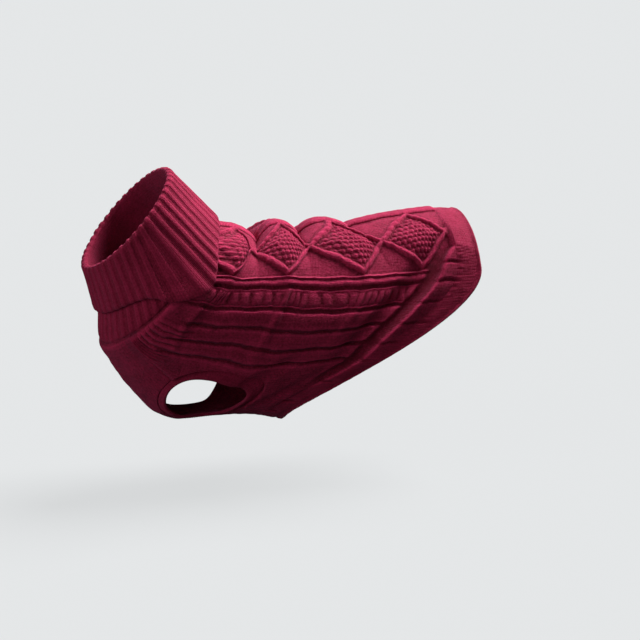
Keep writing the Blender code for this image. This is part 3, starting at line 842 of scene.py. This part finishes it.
def stitch_course(course):
    """Course as the pattern counts it: ahead of the first joint the stitches are pushed together."""
    stretch = DIAMOND_LENGTH / 2 / FIRST_HALF
    return np.where(course < DIAMOND_JOINT, DIAMOND_JOINT + (course - DIAMOND_JOINT) * stretch, course)


def bead(course, wale):
    """Moss stitch: staggered rows of oval domes, 0 between them and 1 on top."""
    away = []
    for shift in (0.0, 0.5):
        u = course / BEAD_LONG - shift
        v = (wale - DIAMOND_MIDDLE) / BEAD_WIDE - shift
        along = (u - np.round(u)) * BEAD_LONG / BEAD_RADII[0]
        across = (v - np.round(v)) * BEAD_WIDE / BEAD_RADII[1]
        away.append(np.hypot(along, across))
    return np.sqrt(np.clip(1 - np.min(away, axis=0) ** 2, 0, 1))


def diamonds(course, wale):
    """Heights of the ground inside and outside the diamonds, and of the cables over it."""
    half = DIAMOND_LENGTH / 2
    counted = stitch_course(course) - DIAMOND_JOINT
    steps = counted / half
    along = 1 - np.abs(np.mod(steps, 2) - 1)
    place = along - np.abs(wale - DIAMOND_MIDDLE) / DIAMOND_HALF_WIDTH
    off_line = place / np.hypot(1 / half, 1 / DIAMOND_HALF_WIDTH)
    across = np.clip(off_line / CABLE_HALF_WIDTH, -1, 1)
    rising = np.where((np.mod(steps, 2) < 1) == (wale > DIAMOND_MIDDLE), 1.0, -1.0)
    strand = np.abs(np.sin(np.pi * (steps * CABLE_TWISTS + 0.5 * rising * across))) ** 0.5
    rounded = np.clip(1 - across**2, 0, 1) ** CABLE_FULLNESS
    cable = rounded * (CABLE_HEIGHT - TWIST_DEPTH * (1 - strand))
    puff = DIAMOND_PUFF * ease(off_line, CABLE_HALF_WIDTH + 0.5, PUFF_ENDS)
    moss = puff + ease(off_line, *MOSS_STARTS) * BEAD_HEIGHT * bead(course, wale)
    plain = fine_wales(wale, PLAIN_WALES)
    return PANEL_GROUND + np.where(place > 0, moss, plain), cable


print("diamond: %.0f x %.0f mm" % (DIAMOND_LENGTH, 2 * DIAMOND_HALF_WIDTH))

# %% [markdown]
# Below the diamonds a fine raised line and a smooth rib lead to the first deep groove.

# %% line
LINE = snapped(83.4, THIRD_STITCH)
LINE_HEIGHT = 1.1
LINE_HALF_WIDTH = 1.5
LINE_CREASE = 0.4
CREASE_HALF_WIDTH = 1.4
LINE_STEP = 1.2
LINE_FOOT = 2.0
LINE_RIB = RIB_HEIGHT - 1.8
LINE_RIB_ENDS = 5.0


def line_band(wale):
    """The fine line below the diamonds, and the rib that rises behind it."""
    foot = LINE + LINE_FOOT
    step = LINE_STEP * ease(wale, LINE - LINE_FOOT, LINE)
    rib = LINE_RIB * ease(wale, foot, LINE + LINE_RIB_ENDS)
    crease = LINE_CREASE * bell(wale, foot, CREASE_HALF_WIDTH)
    return PANEL_GROUND + (step + rib) + (LINE_HEIGHT * bell(wale, LINE, LINE_HALF_WIDTH) - crease)


print("line at wale %.1f, height %.1f mm" % (LINE, line_band(LINE)))

# %% [markdown]
# Then comes the rope cable: small rounded blocks, parted by steep slits that are deep and shallow by
# turns, between two thin ribs.

# %% rope
ROPE_MIDDLE = 104.3
ROPE_HALF_WIDTH = 7.2
ROPE_GROUND = 0.8
ROPE_HEIGHT = 2.2
ROPE_PITCH = 17.0
ROPE_SLANT = -0.22
Slit = namedtuple("Slit", "depth half_width")
DEEP_SLIT = Slit(1.5, 0.17)
SHALLOW_SLIT = Slit(1.0, 0.14)
SLIT_ENDS = (0.05, 0.4)
SIDE_RIB = 8.8
SIDE_RIB_HEIGHT = 2.2
SIDE_RIB_HALF_WIDTH = 2.0


def rope_band(course, wale):
    """The rope cable between its two thin ribs."""
    across = (wale - ROPE_MIDDLE) / ROPE_HALF_WIDTH
    run = (stitch_course(course) - DIAMOND_JOINT) / ROPE_PITCH + ROPE_SLANT * across
    deep = DEEP_SLIT.depth * bell(run - np.round(run), 0.0, DEEP_SLIT.half_width)
    shallow = SHALLOW_SLIT.depth * bell(run - np.floor(run), 0.5, SHALLOW_SLIT.half_width)
    slits = (deep + shallow) * ease(1 - np.abs(across), *SLIT_ENDS)
    rope = ROPE_HEIGHT * np.clip(1 - across**4, 0, 1) ** 0.5
    thin_rib = SIDE_RIB_HEIGHT * bell(np.abs(wale - ROPE_MIDDLE), SIDE_RIB, SIDE_RIB_HALF_WIDTH)
    return ROPE_GROUND + np.maximum(rope - slits, thin_rib)


print("rope: a block every %.1f mm" % (ROPE_PITCH / 2))

# %% [markdown]
# Over the shoulders, next to the neck seam, the wide ribs start as fine single ribs that fan out.

# %% shoulders
FAN_RIB = 2.0
FAN_PITCH = 2 * STITCH_WIDE
FAN_STARTS = (1.0, 6.0)
FAN_DIES_OUT = (34.0, 54.0)
FAN_FROM = (130.0, 146.0)
FAN_TO = (186.0, 204.0)


def shoulder_fan(course, wale):
    """Fine ribs that start at the neck seam and die out behind the shoulder."""
    near_neck = plateau(course, FAN_STARTS, FAN_DIES_OUT)
    on_shoulder = plateau(wale, FAN_FROM, FAN_TO)
    return FAN_RIB * near_neck * on_shoulder * ripple(wale, FAN_PITCH)


print("fine ribs over the shoulder:", round((FAN_TO[0] - FAN_FROM[0]) / FAN_PITCH))

# %% [markdown]
# At the other end the pattern gives way to the hem, which is smooth over the back and has a few short
# grooves and a broken row of purl bumps down the flank.

# %% hem surface
HEM_LEVEL = 2.2
HEM_WALES = 0.2
HEM_GROOVE_DEPTH = 1.8
HEM_GROOVE_HALF_WIDTH = 2.3
HEM_FADE = 12.0
PURL_ROW = 272.0
PURL_HEIGHT = 0.6
PURL_HALF_WIDTH = 5.5
PURL_FROM = (52.0, 60.0)
PURL_TO = (108.0, 118.0)
HemGroove = namedtuple("HemGroove", "wale ends")
HEM_GROOVES = (
    HemGroove(78.0, 279.0),
    HemGroove(96.0, 276.0),
    HemGroove(115.0, 272.0),
    HemGroove(134.0, 292.0),
    HemGroove(152.0, 288.0),
    HemGroove(168.0, 288.0),
    HemGroove(189.0, 288.0),
    HemGroove(213.5, 288.0),
    HemGroove(230.0, 288.0),
    HemGroove(247.0, 288.0),
)


def hem_relief(course, wale):
    """The hem: level, with short grooves on the flank and a broken row of purl bumps."""
    each = [
        bell(wale, g.wale, HEM_GROOVE_HALF_WIDTH) * (1 - ease(course, g.ends - HEM_FADE, g.ends))
        for g in HEM_GROOVES
    ]
    on_flank = plateau(wale, PURL_FROM, PURL_TO)
    bumps = 0.5 + 0.5 * np.cos(np.pi * wale / STITCH_WIDE)
    purl = PURL_HEIGHT * bell(course, PURL_ROW, PURL_HALF_WIDTH) * on_flank * bumps
    return HEM_LEVEL + fine_wales(wale, HEM_WALES) + purl - HEM_GROOVE_DEPTH * np.max(each, axis=0)


print("hem grooves:", len(HEM_GROOVES))

# %% [markdown]
# The hem begins where the cloth rolls out of the long trough, so its line bows like the trough does. The
# cloth sinks ahead of that line and stands up in a crest right behind it.

# %% hem roll
HEM_ROLL = 29.0
HEM_LAST_LINE = 265.0
HEM_CREST = 4.6
HEM_CREST_RISE = 3.0
HEM_CREST_FADE = 36.0
HEM_DIP = 3.4
HEM_DIP_AHEAD = 9.0
HEM_DIP_WIDTH = 12.0
DIP_FROM = (60.0, 78.0)
ROLL_FROM = (18.0, 62.0)
ROLL_TO = (176.0, 206.0)


def hem_line(course, wale):
    """Course where the hem's own surface begins."""
    long_trough = TROUGHS[0]
    aside = np.abs(angle_at(wale, course)) - long_trough.angle
    return np.minimum(long_trough.course + HEM_ROLL + long_trough.bow * aside**2, HEM_LAST_LINE)


def hem_dip(course, wale):
    """Where the cloth sinks ahead of the hem's line: 1 in its middle and 0 outside it."""
    dipped = plateau(wale, DIP_FROM, ROLL_TO)
    return dipped * bell(course, hem_line(course, wale) - HEM_DIP_AHEAD, HEM_DIP_WIDTH)


def hem_crest(course, wale):
    """The roll at the start of the hem: a dip ahead of its line and a crest right behind it."""
    line = hem_line(course, wale)
    rolled = plateau(wale, ROLL_FROM, ROLL_TO)
    rise = (line - HEM_CREST_RISE, line + HEM_CREST_RISE)
    crest_height = HEM_CREST * rolled * plateau(course, rise, (line, line + HEM_CREST_FADE))
    return crest_height - HEM_DIP * hem_dip(course, wale)


hem_starts = hem_line(HEM_LAST_LINE, np.linspace(0.0, HALF_GIRTH))
print("the hem begins at courses %.0f to %.0f" % (hem_starts.min(), hem_starts.max()))

# %% [markdown]
# The leg holes lie in the side seams, which run a little aslant. Each hole has the outline of a slightly
# squared oval, half in the back panel and half in the chest panel, so the reach of both panels is cut
# back by the same curve. Along every seam the cloth dips, because the sewing yarn pulls it in.

# %% leg holes and seams
LEG_COURSE = 152.0
LEG_HALF_LENGTH = 72.0
LEG_HALF_HEIGHT = 36.0
LEG_SQUARENESS = 2.2
NECK_DIP = 1.0
SIDE_DIP = 1.2
SEAM_WIDTH = 2.8
RIM_DIP = 0.3
RIM_STARTS = 8.0


def side_seam(course):
    """Wale of the side seam, halfway up the leg hole and straight beyond it."""
    return PANEL_SEAM + SEAM_SLANT * (course - LEG_COURSE)


def leg_reach(course):
    """How far the leg hole's rim lies from the side seam at a course."""
    u = np.clip(np.abs(course - LEG_COURSE) / LEG_HALF_LENGTH, 0, 1)
    return LEG_HALF_HEIGHT * (1 - u**LEG_SQUARENESS) ** (1 / LEG_SQUARENESS)


def back_reach(course):
    """First and last wale of the back panel at a course."""
    edge = side_seam(course) - leg_reach(course)
    return -edge, edge


def chest_reach(course):
    """First and last wale of the chest panel at a course."""
    edge = side_seam(course) + leg_reach(course)
    return edge, 2 * HALF_GIRTH - edge


def seams(course, from_side):
    """Depth of the dips along the neck seam and along the sides, where it is less at the leg hole."""
    side = SIDE_DIP + (RIM_DIP - SIDE_DIP) * ease(leg_reach(course), 0.0, RIM_STARTS)
    return NECK_DIP * bell(course, 0.0, SEAM_WIDTH) + side * bell(from_side, 0.0, SEAM_WIDTH)


print("leg hole: %.0f x %.0f mm on the map" % (2 * LEG_HALF_LENGTH, 2 * LEG_HALF_HEIGHT))

# %% [markdown]
# Now the whole height field of the back: from the spine outwards the diamonds, the line, the rope and
# the ribs, each in its own range of wales. The cables are laid over them and the hem takes over at its
# line.

# %% heights of the back
FLANK_WALES = 0.3
DIAMOND_MARGIN = 1.5
LINE_MARGIN = 3.0
ROPE_MARGIN = 0.5
HEM_TAKES_OVER = (-6.0, 1.0)
LEAST_HEIGHT = 0.2
NECK_RAMP = 4.0


def back_height(course, wale):
    """Height of the back panel over its inner face."""
    wale = np.abs(wale)
    flank = RIB_HEIGHT + crown(wale) + fine_wales(wale, FLANK_WALES)
    ground, cable = diamonds(course, wale)
    height = np.where(wale > DIAMOND_MIDDLE - DIAMOND_HALF_WIDTH - DIAMOND_MARGIN, ground, flank)
    height = np.where(wale > LINE - LINE_MARGIN, line_band(wale), height)
    height = np.where(wale > GROOVES[1].wale, flank, height)
    in_band = (wale > GROOVES[1].wale + ROPE_MARGIN) & (wale < GROOVES[2].wale - ROPE_MARGIN)
    height = np.where(in_band, rope_band(course, wale), height)
    height = height + shoulder_fan(course, wale) - cuts(course, wale)
    height = np.where(cable > 0, np.maximum(height, cable), height)
    line = hem_line(course, wale)
    in_hem = ease(course, line + HEM_TAKES_OVER[0], line + HEM_TAKES_OVER[1])
    height = height * (1 - in_hem) + hem_relief(course, wale) * in_hem
    height = np.maximum(height + hem_crest(course, wale), LEAST_HEIGHT)
    from_side = back_reach(course)[1] - wale
    rise = ease(course, 0.0, NECK_RAMP)
    return CLOTH + height * rise - seams(course, from_side)


print("height on the spine, mid back: %.1f mm" % back_height(np.array(120.0), np.array(0.0)))

# %% [markdown]
# The panel itself follows. The diamonds need finer columns than the ribs, so there are three to a stitch
# in their zone and two elsewhere. The inside is plain, so its cells are wide.

# %% back panel
FINE_ZONE = (3 * STITCH_WIDE, 31 * STITCH_WIDE)
INNER_STEP = 4.5
FOLD_PAINTED_SHADE = 0.9


def spaced(start, end, step):
    """Evenly spaced values from start to end, about step apart, both ends in."""
    return np.linspace(start, end, int(round((end - start) / step)) + 1)


def mirrored(half):
    """Columns on both sides of the spine."""
    return np.concatenate([-half[:0:-1], half])


def inside_height(course, wale):
    """The inside of a panel is smooth."""
    return np.zeros_like(course)


last_wale = side_seam(HEM_SEAM)
fine_half = np.concatenate(
    [
        np.arange(0.0, FINE_ZONE[0], HALF_STITCH),
        np.arange(round(FINE_ZONE[0] / THIRD_STITCH), round(FINE_ZONE[1] / THIRD_STITCH)) * THIRD_STITCH,
        np.arange(FINE_ZONE[1], last_wale + HALF_STITCH, HALF_STITCH),
    ]
)
coarse_half = np.arange(0.0, last_wale + INNER_STEP, INNER_STEP)
fine_courses = spaced(0.0, HEM_SEAM, STITCH_TALL / 2)
coarse_courses = spaced(0.0, HEM_SEAM, INNER_STEP)
back_outer = lay_face(fine_courses, mirrored(fine_half), back_reach, back_height, wander=1.0)
back_inner = lay_face(coarse_courses, mirrored(coarse_half), back_reach, inside_height)
# Painted shade on the colour in the dip ahead of the hem.
back_painted_shade = FOLD_PAINTED_SHADE * hem_dip(back_outer.courses, np.abs(back_outer.wales))
back_panel = panel("back_panel_knit", back_outer, back_inner, back_painted_shade)

# %% [markdown]
# ## The chest panel
# The strip under the chest and belly is plain knitting, so its only relief is the columns of stitches.

# %% chest panel
CHEST_HEIGHT = 1.2
CHEST_WALES = 0.5
CHEST_BLEND = 8.0


def chest_height(course, wale):
    """Height of the chest panel over its inner face."""
    place = HALF_GIRTH - np.abs(wale - HALF_GIRTH)
    from_side = place - chest_reach(course)[0]
    in_hem = ease(course, HEM_LAST_LINE - CHEST_BLEND, HEM_LAST_LINE)
    body = CHEST_HEIGHT * ease(course, 0.0, NECK_RAMP) + fine_wales(wale, CHEST_WALES)
    height = body * (1 - in_hem) + hem_relief(course, place) * in_hem
    return CLOTH + height - seams(course, from_side)


chest_start = side_seam(0.0)
chest_wales = spaced(chest_start, 2 * HALF_GIRTH - chest_start, HALF_STITCH)
chest_coarse = spaced(chest_start, 2 * HALF_GIRTH - chest_start, INNER_STEP)
chest_outer = lay_face(fine_courses, chest_wales, chest_reach, chest_height, wander=1.0)
chest_inner = lay_face(coarse_courses, chest_coarse, chest_reach, inside_height)
chest_panel = panel("chest_panel_knit", chest_outer, chest_inner)

# %% [markdown]
# ## Tubes of rib
# The collar, the hem and the leg bands are closed loops of cloth, and each is closed again round its own
# section: down the outer face, round the edge and back up the inner face. So each starts as a flat grid
# with a column for every part of a stitch round the loop and a row for every step round the section.
# Its points are moved, row by row, to their places, and its edges are sewn together. The section is
# drawn with a few guide points, and a smooth curve through them fills in the rest.

# %% curves through guide points
def between(guides, weights, spacing):
    """Rows along a closed smooth curve through the guide rows, about spacing apart. Each weight says
    how much relief its guide carries."""
    guides = np.array(guides, float)
    weights = np.array(weights, float)
    count = len(guides)
    step = np.linalg.norm(np.roll(guides, -1, axis=0) - guides, axis=-1).mean(axis=1)
    rows, relief, length = [], [], []
    for k in range(count):
        before, here, after, beyond = (guides[(k + n) % count] for n in (-1, 0, 1, 2))
        reach_before, reach, reach_after = step[k - 1], step[k], step[(k + 1) % count]
        leave = reach * ((after - here) / reach + (here - before) / reach_before) / 2
        arrive = reach * ((beyond - after) / reach_after + (after - here) / reach) / 2
        for u in np.arange(0, 1, 1 / max(1, round(reach / spacing))):
            h00, h10 = 2 * u**3 - 3 * u**2 + 1, u**3 - 2 * u**2 + u
            h01, h11 = 3 * u**2 - 2 * u**3, u**3 - u**2
            rows.append(h00 * here + h10 * leave + h01 * after + h11 * arrive)
            relief.append(weights[k] + (weights[(k + 1) % count] - weights[k]) * u)
            length.append(step[:k].sum() + reach * u)
    return np.array(rows), np.array(relief), np.array(length)


def section(guides, spacing):
    """The same for a section drawn flat, as (run, height, relief weight) guides."""
    flat = [[[run, height, 0.0]] for run, height, weight in guides]
    rows, relief, length = between(flat, [g[2] for g in guides], spacing)
    return rows[:, 0, 0], rows[:, 0, 1], relief, length


square = between([[[0, 0, 0]], [[9, 0, 0]], [[9, 9, 0]], [[0, 9, 0]]], [0, 0, 1, 1], 3.0)
print("a square of four guides becomes", len(square[0]), "points")

# %% [markdown]
# The grid comes from Blender with its points in rows and columns. Each knows its row and column from its
# place, and that is where it takes its point of the tube, its stitch and its crest from.

# %% roll up a grid
def tube(name, rings, height, weight, wales, courses):
    """A flat grid, rolled up: its points are moved to the rings and its two pairs of edges are sewn.
    The height field gives the crests, as far as each ring's weight lets it show."""
    sections, columns = rings.shape[:2]
    bpy.ops.object.select_all(action="DESELECT")
    bpy.ops.mesh.primitive_grid_add(x_subdivisions=columns, y_subdivisions=sections, size=1.0)
    piece = bpy.context.object
    piece.name = name
    mesh = piece.data
    mesh.name = name
    flat = np.empty(len(mesh.vertices) * 3)
    mesh.vertices.foreach_get("co", flat)
    flat = flat.reshape(-1, 3)
    column_of = np.rint((flat[:, 0] + 0.5) * columns).astype(int)
    section_of = np.rint((flat[:, 1] + 0.5) * sections).astype(int)
    placed = rings[section_of % sections, column_of % columns] * MM
    mesh.vertices.foreach_set("co", placed.ravel())
    all_wales = np.append(wales, 2 * wales[-1] - wales[-2])
    all_courses = np.append(courses, 2 * courses[-1] - courses[-2])
    shown = INSIDE_TONE + (crest(height, wraps=True) - INSIDE_TONE) * weight[:, None]
    crests = shown[section_of % sections, column_of % columns]
    finish_mesh(mesh, all_wales[column_of], all_courses[section_of], crests)
    return piece


print("each tube is a grid sewn along two pairs of edges")

# %% [markdown]
# ## The collar
# A tall roll collar in two-by-two rib. It is knitted upwards from the neck seam, folded over at the
# top and turned down again, so its section has four faces: the stand's inside, the turned layer's
# outside, the turned layer's inside and the stand's outside. Two knit columns stand high and two purl
# columns lie low in each rib.

# %% collar rib
COLLAR_RIBS = 42
COLUMNS_PER_RIB = 10
COLLAR_RIB_RELIEF = 1.3
KNIT_FROM = 0.30
KNIT_FULL = 0.16
KNIT_SPLIT = 0.22
SPLIT_HALF_WIDTH = 0.07


def two_by_two(place):
    """Height of a two-by-two rib, 0 to 1, at a place counted in ribs."""
    knit = ease(np.abs(np.mod(place, 1) - 0.5), KNIT_FROM, KNIT_FULL)
    split = KNIT_SPLIT * bell(np.mod(place, 1), 0.5, SPLIT_HALF_WIDTH)
    return np.clip(knit - split, 0, 1)


collar_columns = COLLAR_RIBS * COLUMNS_PER_RIB
collar_angles = np.arange(collar_columns) * 360.0 / collar_columns
collar_angles = np.where(collar_angles > 180, collar_angles - 360, collar_angles)
print("collar:", COLLAR_RIBS, "ribs in", collar_columns, "columns")

# %% [markdown]
# The free edge of the turned-down layer lies on the neck seam at the nape, reaches farthest over the
# shoulders and is drawn up high under the throat. Where it comes near the neck seam, the ribs of the
# back panel lie beneath it, so it stands farther out there.

# %% turned-down layer
FOLD_RISE = 5.5
TURN_THICKNESS = 2.2
LAYER_GAP = 0.8
LIFTED_EDGE = (-30.0, -14.0)
Edge = namedtuple("Edge", "angle course")
TURN_EDGE = (
    Edge(0.0, 2.0),
    Edge(35.0, 4.0),
    Edge(62.0, 8.0),
    Edge(80.0, 11.0),
    Edge(92.0, 4.0),
    Edge(101.0, -12.0),
    Edge(114.0, -25.0),
    Edge(135.0, -32.0),
    Edge(180.0, -35.0),
)

turn_edge = through(np.abs(collar_angles), *zip(*TURN_EDGE))
over_stand = CLOTH + COLLAR_RIB_RELIEF + LAYER_GAP
over_body = CLOTH + RIB_HEIGHT + 3 * LAYER_GAP
over_edge = over_stand + (over_body - over_stand) * ease(turn_edge, *LIFTED_EDGE)


def turned(share, lift):
    """The turned-down layer hangs straight from the fold to its edge."""
    top = cloth(-NECK_RISE, collar_angles, over_stand + lift)
    low = cloth(turn_edge, collar_angles, over_edge + lift)
    return top + (low - top) * share


print("turned edge: courses %.0f to %.0f" % (turn_edge.min(), turn_edge.max()))

# %% [markdown]
# The guides of the section, in order: up the inside of the stand, over the fold, down the outside of the
# turned layer, round its edge, back up its inside and down the outside of the stand. Each goes with a
# weight for how much of the rib shows there.

# %% collar section
NECK_TUCK = 0.4
STAND_INSIDE = (NECK_TUCK, -27.0, -53.0, -NECK_RISE)
STAND_OUTSIDE = (-0.95 * NECK_RISE, -53.0, -27.0, -4.0)
Fold = namedtuple("Fold", "rise stand turn weight")
FOLD = (
    Fold(0.8, 0.3, 0.0, 0.3),
    Fold(1.0, 0.85, 0.0, 0.6),
    Fold(0.6, 1.0, 0.9, 1.0),
)
OUTER_SHARES = (0.06, 0.27, 0.51, 0.75, 0.96)
INNER_SHARES = (0.97, 0.69, 0.38, 0.07)
EDGE_WEIGHT = 0.5
guides = [(cloth(course, collar_angles, 0.0), 0.0) for course in STAND_INSIDE]
for f in FOLD:
    lift = over_stand * f.stand + TURN_THICKNESS * f.turn
    guides.append((cloth(-NECK_RISE - f.rise * FOLD_RISE, collar_angles, lift), f.weight))
guides += [(turned(share, TURN_THICKNESS), 1.0) for share in OUTER_SHARES]
guides.append((turned(1.0, TURN_THICKNESS / 2), EDGE_WEIGHT))
guides += [(turned(share, 0.0), 0.0) for share in INNER_SHARES]
guides += [(cloth(course, collar_angles, CLOTH), 1.0) for course in STAND_OUTSIDE]
guides.append((cloth(NECK_TUCK, collar_angles, CLOTH - NECK_DIP), 0.0))
print("guides round the section:", len(guides))

# %% [markdown]
# The smooth tube through the guides is then raised along its own normals by the rib and by a little
# lumpiness. The stitches run straight up it, four to a rib.

# %% collar
COLLAR_STEP = 1.7
LEAST_LENGTH = 1e-9


def ring_normals(rings):
    """Outward normals of a closed tube of rings."""
    along = np.roll(rings, -1, axis=0) - np.roll(rings, 1, axis=0)
    across = np.roll(rings, -1, axis=1) - np.roll(rings, 1, axis=1)
    normal = np.cross(across, along)
    return normal / np.maximum(np.linalg.norm(normal, axis=-1, keepdims=True), LEAST_LENGTH)


collar_rings, collar_relief, collar_length = between(*zip(*guides), COLLAR_STEP)
collar_ribs = two_by_two(np.arange(collar_columns) / COLUMNS_PER_RIB)
collar_full = np.repeat(COLLAR_RIB_RELIEF * collar_ribs[None, :], len(collar_relief), axis=0)
collar_height = collar_relief[:, None] * collar_full
collar_lumps = LUMP * collar_relief[:, None] * uneven(collar_rings, WANDER_LENGTH)
collar_rings = collar_rings + ring_normals(collar_rings) * (collar_height + collar_lumps)[..., None]
collar_stitches = np.arange(collar_columns) / COLUMNS_PER_RIB * 4 * STITCH_WIDE
collar = tube("collar_rib", collar_rings, collar_full, collar_relief, collar_stitches, collar_length)

# %% [markdown]
# ## The hem
# The hem is a band that rolls softly outwards. It carries on the surface of the back panel, so that no
# seam shows, and its cast-on edge closes it with a row of tiny scallops, one to a stitch.

# %% hem
HEM_COLUMNS_PER_STITCH = 3
SCALLOP = 0.7
SCALLOP_REACH = 2.0
HEM_SECTION = (
    (HEM_SEAM + 0.05, CLOTH - 1.2, 1.0),
    (HEM_SEAM + 0.05, CLOTH, 1.0),
    (HEM_SEAM + 1.3, CLOTH + 0.1, 1.0),
    (HEM_SEAM + 17.5, CLOTH + 1.5, 1.0),
    (HEM_EDGE - 6.0, CLOTH + 1.9, 1.0),
    (HEM_EDGE - 2.4, CLOTH + 3.1, 0.9),
    (HEM_EDGE - 0.5, CLOTH + 2.4, 0.6),
    (HEM_EDGE, CLOTH / 2 + 2.5, 0.3),
    (HEM_EDGE - 0.7, 2.5, 0.0),
    (HEM_SEAM + 17.5, 1.5, 0.0),
    (HEM_SEAM + 0.05, 0.2, 0.0),
)
hem_stitches = int(round(2 * HALF_GIRTH / STITCH_WIDE))
hem_columns = hem_stitches * HEM_COLUMNS_PER_STITCH
hem_wales = np.arange(hem_columns) * 2 * HALF_GIRTH / hem_columns
hem_place = np.minimum(hem_wales, 2 * HALF_GIRTH - hem_wales)
hem_course, hem_offset, hem_weight, hem_run = section(HEM_SECTION, STITCH_TALL / 2)
grid_course = np.repeat(hem_course[:, None], len(hem_wales), axis=1)
hem_full = hem_relief(grid_course, hem_place[None, :]) + hem_crest(grid_course, hem_place[None, :])
hem_height = hem_weight[:, None] * hem_full
scallops = np.abs(np.cos(np.pi * hem_wales * hem_stitches / 2 / HALF_GIRTH))
near_edge = ease(grid_course, HEM_EDGE - SCALLOP_REACH, HEM_EDGE)
edge_course = grid_course + SCALLOP * near_edge * (scallops[None, :] - 0.5)
hem_angles = angle_at(hem_wales[None, :], HEM_SEAM)
hem_free = LUMP * hem_weight[:, None] * ease(grid_course, HEM_SEAM, HEM_SEAM + EDGE_CALM)
hem_lumps = hem_free * uneven(cloth(edge_course, hem_angles), LUMP_LENGTH)
hem_rings = cloth(edge_course, hem_angles, hem_offset[:, None] + hem_height + hem_lumps)
hem = tube("hem_rib_knit", hem_rings, hem_full, hem_weight, hem_wales, hem_run)

# %% [markdown]
# ## The leg bands
# Narrow bands, picked up round each leg hole and knitted outwards for a few rows. Each starts under the
# panels' edge and flares a little at its free edge.

# %% leg bands
LEG_BAND_WIDTH = 12.0
LEG_BAND_RIBS = 0.5
BAND_COLUMNS = 280
BAND_STEP = 1.3
BAND_TUCK = 1.8
BAND_SECTION = (
    (-BAND_TUCK, CLOTH - 1.0, 0.0),
    (0.0, CLOTH - 0.24, 0.0),
    (1.4, CLOTH + 0.6, 1.0),
    (0.5 * LEG_BAND_WIDTH, CLOTH + 1.3, 1.0),
    (0.85 * LEG_BAND_WIDTH, CLOTH + 2.2, 1.0),
    (LEG_BAND_WIDTH, CLOTH / 2 + 2.0, 0.5),
    (0.9 * LEG_BAND_WIDTH, 2.0, 0.0),
    (0.5 * LEG_BAND_WIDTH, 1.0, 0.0),
    (-BAND_TUCK, 0.6, 0.0),
)


def leg_rim(side, inset, offset):
    """Points round one leg hole, drawn in by inset; side is 1 on the left and -1 on the right."""
    turn = np.arange(BAND_COLUMNS)[None, :] * 2 * np.pi / BAND_COLUMNS * side
    power = 2 / LEG_SQUARENESS
    run = -np.sign(np.cos(turn)) * np.abs(np.cos(turn)) ** power
    rise = np.sign(np.sin(turn)) * np.abs(np.sin(turn)) ** power
    course = LEG_COURSE + run * (LEG_HALF_LENGTH - inset[:, None])
    wale = side_seam(course) - rise * (LEG_HALF_HEIGHT - inset[:, None])
    return cloth(course, side * angle_at(wale, course), offset)


def leg_band(side, name):
    """One leg band: its section carried round the leg hole, with a whole number of stitches."""
    inset, lift, weight, run = section(BAND_SECTION, BAND_STEP)
    rim = leg_rim(side, np.zeros(1), np.zeros((1, 1)))[0]
    around = np.linalg.norm(np.roll(rim, -1, axis=0) - rim, axis=-1)
    stitches = max(1, round(around.sum() / STITCH_WIDE))
    wales = np.concatenate([[0], np.cumsum(around)[:-1]]) * stitches * STITCH_WIDE / around.sum()
    full = np.repeat(fine_wales(wales, LEG_BAND_RIBS)[None, :], len(weight), axis=0)
    rings = leg_rim(side, inset, lift[:, None] + weight[:, None] * full)
    print(name, "loop %.0f mm" % around.sum())
    return tube(name, rings, full, weight, wales, run)


left_band = leg_band(1, "leg_band_left_knit")
right_band = leg_band(-1, "leg_band_right_knit")

# %% [markdown]
# ## Handing the pieces to the frame
# Each piece rides on the sweater's one body and stands for one solid of the frame. Every piece is a
# sheet of knitting, so each also states its cut: the size that it was knitted to before it was sewn up
# and worn. The back and the chest are shorter at the side seams than in the middle and have the leg
# holes cut out of them, so their area is stated too.

# %% pieces, slots and sheets
Cut = namedtuple("Cut", "piece node material width length area")
CUTS = (
    Cut(back_panel, "back_panel", body_wool, 0.427, 0.267, 0.0930),
    Cut(chest_panel, "chest_panel", body_wool, 0.120, 0.190, 0.0150),
    Cut(collar, "collar", rib_wool, 0.380, 0.170, None),
    Cut(hem, "hem_rib", rib_wool, 0.527, 0.035, None),
    Cut(left_band, "leg_band_left", rib_wool, 0.300, 0.012, None),
    Cut(right_band, "leg_band_right", rib_wool, 0.300, 0.012, None),
)
for cut in CUTS:
    piece = cut.piece
    piece.data.materials.clear()
    piece.data.materials.append(cut.material)
    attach(piece, "root")
    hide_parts(cut.node)
    measured = sum(p.area for p in piece.data.polygons) / 2
    flat = cut.area or cut.width * cut.length
    print(cut.node, "cloth %.4f m2, cut %.4f m2, share %.2f" % (measured, flat, measured / flat))
